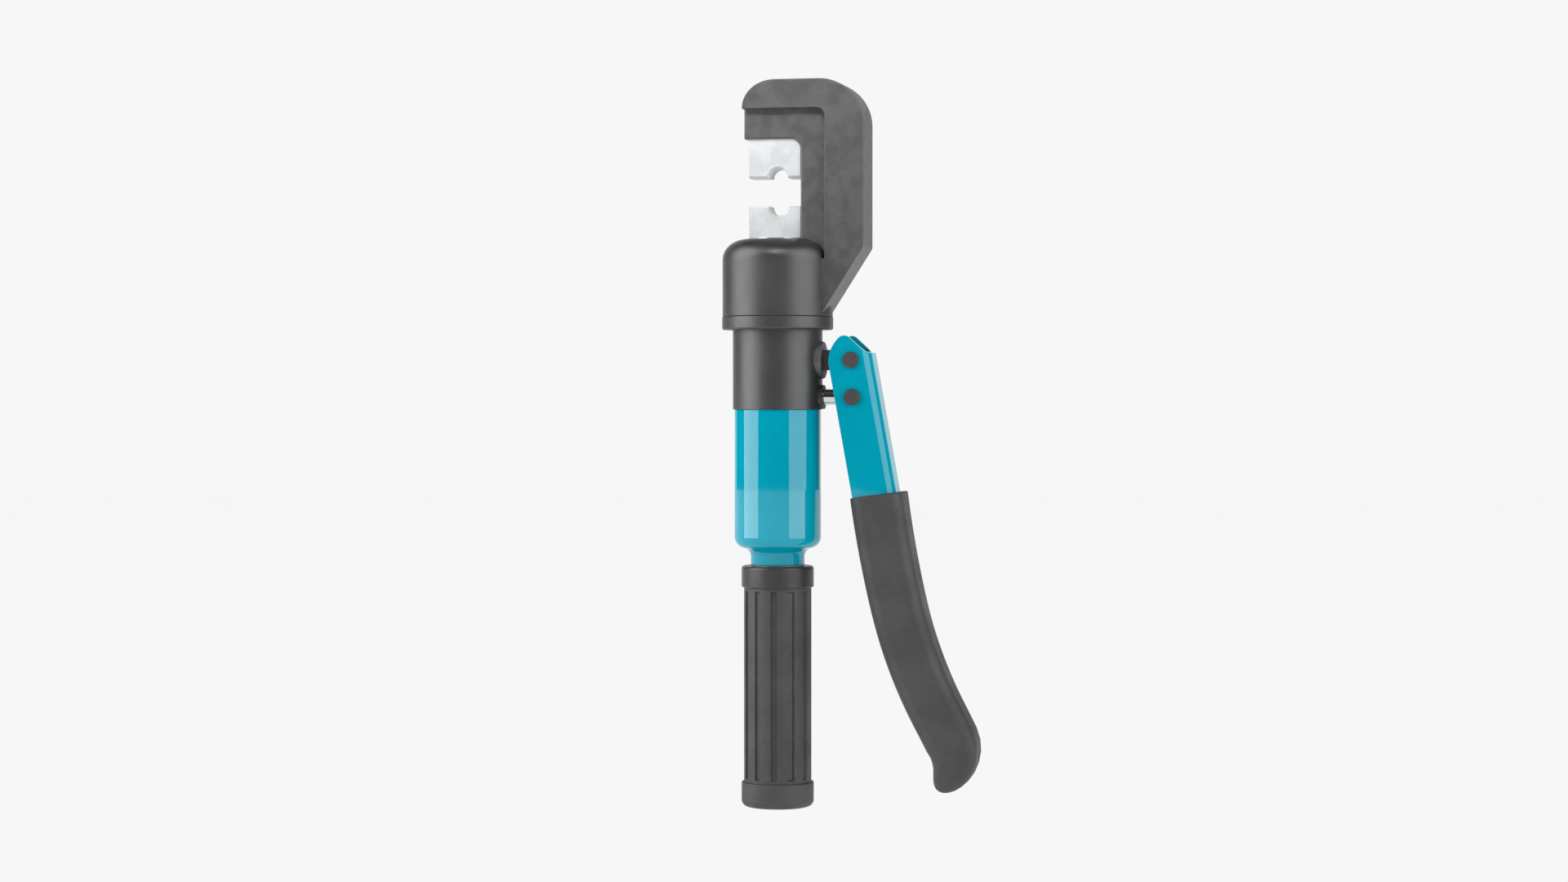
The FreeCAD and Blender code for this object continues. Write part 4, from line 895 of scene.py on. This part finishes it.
def sleeve():
    bm = lathe([(TUBE_R, sleeve_low.z), (SLEEVE_R, sleeve_low.z), (SLEEVE_R, sleeve_high.z),
                (TUBE_R, sleeve_high.z)], FLUTES * STEPS_PER_FLUTE)
    for share in (0.0, 0.5, 1.0):
        height = FLUTE_STOP + share * FLUTE_RUN_OUT
        for z in (sleeve_low.z + height, sleeve_high.z - height):
            bmesh.ops.bisect_plane(bm, geom=bm.verts[:] + bm.edges[:] + bm.faces[:], plane_co=(0, 0, z),
                                   plane_no=(0, 0, 1))
    for vert in bm.verts:
        if vert.co.xy.length > SLEEVE_R - NEAR:
            depth = flute_depth(math.atan2(vert.co.y, vert.co.x), vert.co.z)
            vert.co.xy *= (SLEEVE_R - depth) / SLEEVE_R
    bmesh.ops.recalc_face_normals(bm, faces=bm.faces)
    piece(bm, "fluted_sleeve", "turning_grip", "grip_rubber", [grip_rubber], "grip_sleeve",
          sharp_deg=40.0)


grip_ring()
sleeve()
end_cap()

# ---- Pump lever
# A U-shaped channel bent from 2.2 mm sheet, its ears cut round over the fulcrum, enamelled like the
# housing. It hangs on the fulcrum pin and leans out, and its lower end is buried in the moulded grip.
FULCRUM = Vector(next(joint for joint in frame["joints"] if joint["name"] == "lever_pump")["pos_m"])
PLUNGER_PIN = (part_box("plunger_pin")[0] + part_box("plunger_pin")[1]) / 2
LEVER_LEAN = math.radians(10.2)
CHANNEL_HALF = 10.0 * MM
SHEET = 2.2 * MM
BEND_R = 5.4 * MM
LEVER_OUT = 8.8 * MM
LEVER_IN = 10.0 * MM
LEVER_FULL = 66.0 * MM
LEVER_LONG = 112.0 * MM
TANG_IN = 7.0 * MM
TANG_STEP = 3.0 * MM
EAR_TOP = 11.1 * MM
EAR_TOP_AT = -1.6 * MM
EAR_BULGE = (-0.77, 0.64)                       # in parts of LEVER_IN
SHOULDER = (-1.8 * MM, -0.5 * MM)               # from the ear's highest point
BROW = (2.2 * MM, -0.8 * MM)
WEB_TOP = 1.6 * MM
WEB_SLANT = 0.9 * MM
PIN_R = 2.5 * MM
SHEARED_EDGE = 0.3 * MM
SPARE = 1.0 * MM


def lean(bm):
    """From the upright lever at the origin to its place on the fulcrum pin."""
    bmesh.ops.rotate(bm, verts=bm.verts, cent=(0, 0, 0), matrix=Matrix.Rotation(-LEVER_LEAN, 3, "Y"))
    bmesh.ops.translate(bm, verts=bm.verts, vec=FULCRUM)
    return bm


def through(first, middle, last, count):
    """Points on the circle through three points, without the first."""
    a, b, c = (Vector(p) for p in (first, middle, last))
    cross = (b - a).cross(c - a)
    aa, bb, cc = a.length_squared, b.length_squared, c.length_squared
    centre = Vector(((aa * (b.y - c.y) + bb * (c.y - a.y) + cc * (a.y - b.y)),
                     (aa * (c.x - b.x) + bb * (a.x - c.x) + cc * (b.x - a.x)))) / (2 * cross)
    radius = (a - centre).length
    start = math.atan2(a.y - centre.y, a.x - centre.x)
    end = math.atan2(c.y - centre.y, c.x - centre.x)
    if cross < 0 and end > start:
        end -= 2 * math.pi
    turns = [start + (end - start) * index / count for index in range(1, count + 1)]
    return [(centre.x + radius * math.cos(turn), centre.y + radius * math.sin(turn)) for turn in turns]


def lever_side():
    """The upright lever's side outline: ear, web, and the narrower tang that the grip is pushed on."""
    ear = (-LEVER_IN, 0.0)
    bulge = (LEVER_IN * EAR_BULGE[0], LEVER_IN * EAR_BULGE[1])
    shoulder = (EAR_TOP_AT + SHOULDER[0], EAR_TOP + SHOULDER[1])
    brow = (EAR_TOP_AT + BROW[0], EAR_TOP + BROW[1])
    outline = [ear]
    outline += through(ear, bulge, shoulder, 16)
    outline += through(shoulder, (EAR_TOP_AT, EAR_TOP), brow, 6)
    outline += [(LEVER_OUT - SHEET, WEB_TOP + WEB_SLANT), (LEVER_OUT, WEB_TOP), (LEVER_OUT, -LEVER_LONG),
                (-TANG_IN, -LEVER_LONG), (-TANG_IN, -LEVER_FULL - TANG_STEP), (-LEVER_IN, -LEVER_FULL)]
    return outline


def channel_blank():
    """The bent sheet as a straight length, longer than the lever at both ends."""
    inner_r = BEND_R - SHEET
    back = -LEVER_IN - SPARE
    inner = CHANNEL_HALF - SHEET
    outline = [(back, -CHANNEL_HALF)]
    outline += arc(LEVER_OUT - BEND_R, -CHANNEL_HALF + BEND_R, BEND_R, BEND_R, -90, 0, 8)
    outline += arc(LEVER_OUT - BEND_R, CHANNEL_HALF - BEND_R, BEND_R, BEND_R, 0, 90, 8)
    outline += [(back, CHANNEL_HALF), (back, inner)]
    outline += arc(LEVER_OUT - BEND_R, inner - inner_r, inner_r, inner_r, 90, 0, 4)
    outline += arc(LEVER_OUT - BEND_R, -inner + inner_r, inner_r, inner_r, 0, -90, 4)
    outline += [(back, -inner)]
    bm = bmesh.new()
    face = bm.faces.new([bm.verts.new((x, y, -LEVER_LONG - SPARE)) for x, y in outline])
    pull(bm, face, (0, 0, LEVER_LONG + EAR_TOP + 2 * SPARE))
    return bm


def pin_drill(at, play=0.0):
    """A rod along y, as wide as the pins plus the play, to cut a pin's hole."""
    bm = bmesh.new()
    turn = Matrix.Rotation(math.pi / 2, 4, "X")
    bmesh.ops.create_cone(bm, cap_ends=True, segments=48, radius1=PIN_R + play, radius2=PIN_R + play,
                          depth=4 * CHANNEL_HALF, matrix=Matrix.Translation((at.x, 0, at.z)) @ turn)
    return bm


def lever_channel():
    base = shape_object(lean(channel_blank()), "channel_blank")
    steps = [("INTERSECT", shape_object(lean(slab(lever_side(), 2 * CHANNEL_HALF)), "lever_side")),
             ("DIFFERENCE", shape_object(pin_drill(FULCRUM), "fulcrum_drill")),
             ("DIFFERENCE", shape_object(pin_drill(PLUNGER_PIN), "plunger_drill"))]
    bm = combine(base, steps)[0]
    round_over(bm, SHEARED_EDGE, lambda at: True, segments=2, from_deg=55.0)
    enamel = gloss_enamel("gloss_teal_lever", wear=0.55)
    piece(bm, "lever_channel_bent", "pump_lever", "teal_lever", [enamel], "lever_channel")


lever_channel()

# ---- Fulcrum lug
# A forged eye on a flat bar, with a turned flange that seats against the barrel and a stud behind it. The
# bar is sprayed with the barrel, and the flange's machined face stays a dull grey.
LUG_T = 8.0 * MM
LUG_BAR_H = 8.9 * MM
LUG_EYE_R = 5.0 * MM
LUG_FLANGE_R = 8.2 * MM
LUG_STUD_R = 5.0 * MM
LUG_SEAT = BARREL_R - 1.95 * MM
LUG_FACE = BARREL_R + 1.3 * MM
LUG_BREAK = 0.6 * MM
LUG_INTO = 1.0 * MM
HOLE_PLAY = 0.06 * MM
DULL_STEEL, DULL_SHADE = (0.17, 0.17, 0.18, 1.0), (0.13, 0.13, 0.135, 1.0)


def rod_x(radius, x0, x1, z):
    """A rod along x between two places, at a height."""
    bm = bmesh.new()
    place = Matrix.Translation(((x0 + x1) / 2, 0.0, z)) @ Matrix.Rotation(math.pi / 2, 4, "Y")
    bmesh.ops.create_cone(bm, cap_ends=True, segments=64, radius1=radius, radius2=radius, depth=x1 - x0,
                          matrix=place)
    return bm


def fulcrum_lug():
    flange = rod_x(LUG_FLANGE_R, LUG_SEAT, LUG_FACE, FULCRUM.z)
    round_over(flange, LUG_BREAK, lambda at: at.x > LUG_FACE - NEAR, 2)
    stud = rod_x(LUG_STUD_R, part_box("fulcrum_lug")[0].x, LUG_SEAT + LUG_INTO, FULCRUM.z)
    half = LUG_BAR_H / 2
    bar = [(LUG_FACE - LUG_INTO, FULCRUM.z - half), (FULCRUM.x, FULCRUM.z - half)]
    bar += arc(FULCRUM.x, FULCRUM.z, LUG_EYE_R, LUG_EYE_R, -90, 90, 24)
    bar += [(FULCRUM.x, FULCRUM.z + half), (LUG_FACE - LUG_INTO, FULCRUM.z + half)]
    base = shape_object(flange, "flange_blank", dull_steel)
    steps = [("UNION", shape_object(stud, "stud_blank", dull_steel)),
             ("UNION", shape_object(slab(bar, LUG_T / 2), "bar_blank", satin_black)),
             ("DIFFERENCE", shape_object(pin_drill(FULCRUM, HOLE_PLAY), "lug_drill", dull_steel))]
    bm, materials = combine(base, steps)
    piece(bm, "fulcrum_lug_forged", "tool_body", "black_enamel", materials, "fulcrum_lug")


dull_steel = ground_steel("dull_steel", DULL_STEEL, DULL_SHADE, 0.5, 0.6, metallic=0.6)
fulcrum_lug()

# ---- Lever grip
# A thick moulded sleeve, bent outwards with the lever and swollen to a blunt toe. It is pushed over the
# channel, so its upper end is a cut face with a small rounded lip.
GRIP_START = Vector((45.4 * MM, 0.0, housing_low.z + 31.4 * MM))
GRIP_START_LEAN = math.radians(7.5)
GRIP_ARCS = ((50.0 * MM, 6.0), (50.0 * MM, 14.3), (11.7 * MM, -1.0), (22.7 * MM, -90.0))  # length, bend
GRIP_DEPTH = (23.5 * MM, 22.4 * MM)             # at the start and at the toe, as the width below
GRIP_WIDTH = (24.0 * MM, 22.0 * MM)
GRIP_CORNER = 6.0 * MM
TOE_LONG = 22.2 * MM
GRIP_RINGS = 44
TOE_RINGS = 12
LIP = 0.8 * MM


def grip_station(distance):
    """Centre and lean of the grip at a distance down its arcs."""
    at = GRIP_START.copy()
    heading = GRIP_START_LEAN
    left = distance
    for length, turn in GRIP_ARCS:
        run = min(length, left)
        bend = math.radians(turn) * run / length
        at += run * Vector((math.sin(heading + bend / 2), 0.0, -math.cos(heading + bend / 2)))
        heading += bend
        left -= run
        if left <= 0:
            break
    return at, heading


def grip_ring_points(distance, total, shrink=0.0):
    """The rounded section of the grip at a distance, as points in its own plane."""
    share = distance / total
    into_toe = max(0.0, distance - (total - TOE_LONG)) / TOE_LONG
    toe = math.sqrt(max(0.0, 1 - into_toe ** 2))
    a = (GRIP_DEPTH[0] + (GRIP_DEPTH[1] - GRIP_DEPTH[0]) * share) / 2 * toe - shrink
    b = (GRIP_WIDTH[0] + (GRIP_WIDTH[1] - GRIP_WIDTH[0]) * share) / 2 * toe - shrink
    r = min(GRIP_CORNER, 0.85 * a, 0.85 * b)
    points = []
    for index, (sx, sy) in enumerate(((1, 1), (-1, 1), (-1, -1), (1, -1))):
        start = index * 90
        points += arc(sx * (a - r), sy * (b - r), r, r, start, start + 90, 9)
    return points


def grip_loop(bm, distance, total, shrink=0.0):
    at, heading = grip_station(distance)
    outward = Vector((math.cos(heading), 0.0, math.sin(heading)))
    loop = []
    for across, sideways in grip_ring_points(distance, total, shrink):
        loop.append(bm.verts.new(at + outward * across + Vector((0.0, sideways, 0.0))))
    return [bm.edges.new((first, second)) for first, second in zip(loop, loop[1:] + loop[:1])]


def lever_grip():
    total = sum(length for length, turn in GRIP_ARCS)
    toe_start = total - TOE_LONG
    places = [(0.0, LIP), (0.25 * LIP, 0.35 * LIP), (0.7 * LIP, 0.07 * LIP)]
    places += [(LIP + (toe_start - LIP) * index / GRIP_RINGS, 0.0) for index in range(GRIP_RINGS)]
    for index in range(TOE_RINGS):
        places.append((toe_start + TOE_LONG * math.sin(math.pi / 2 * index / TOE_RINGS), 0.0))
    bm = bmesh.new()
    loops = [grip_loop(bm, distance, total, shrink) for distance, shrink in places]
    for upper, lower in zip(loops, loops[1:]):
        bmesh.ops.bridge_loops(bm, edges=upper + lower)
    bmesh.ops.contextual_create(bm, geom=loops[0])
    bmesh.ops.contextual_create(bm, geom=loops[-1])
    bmesh.ops.recalc_face_normals(bm, faces=bm.faces)
    base = shape_object(bm, "grip_blank")
    room = shape_object(lean(slab(lever_side(), CHANNEL_HALF)), "channel_room")
    bm = combine(base, [("DIFFERENCE", room)])[0]
    piece(bm, "lever_grip_moulded", "pump_lever", "lever_rubber", [lever_rubber], "lever_grip",
          sharp_deg=50.0)


lever_rubber = moulded("lever_rubber", GRIP_BLACK, GRIP_WORN, 0.52, 0.64, 0.5 * MM, 0.03 * MM)
lever_grip()
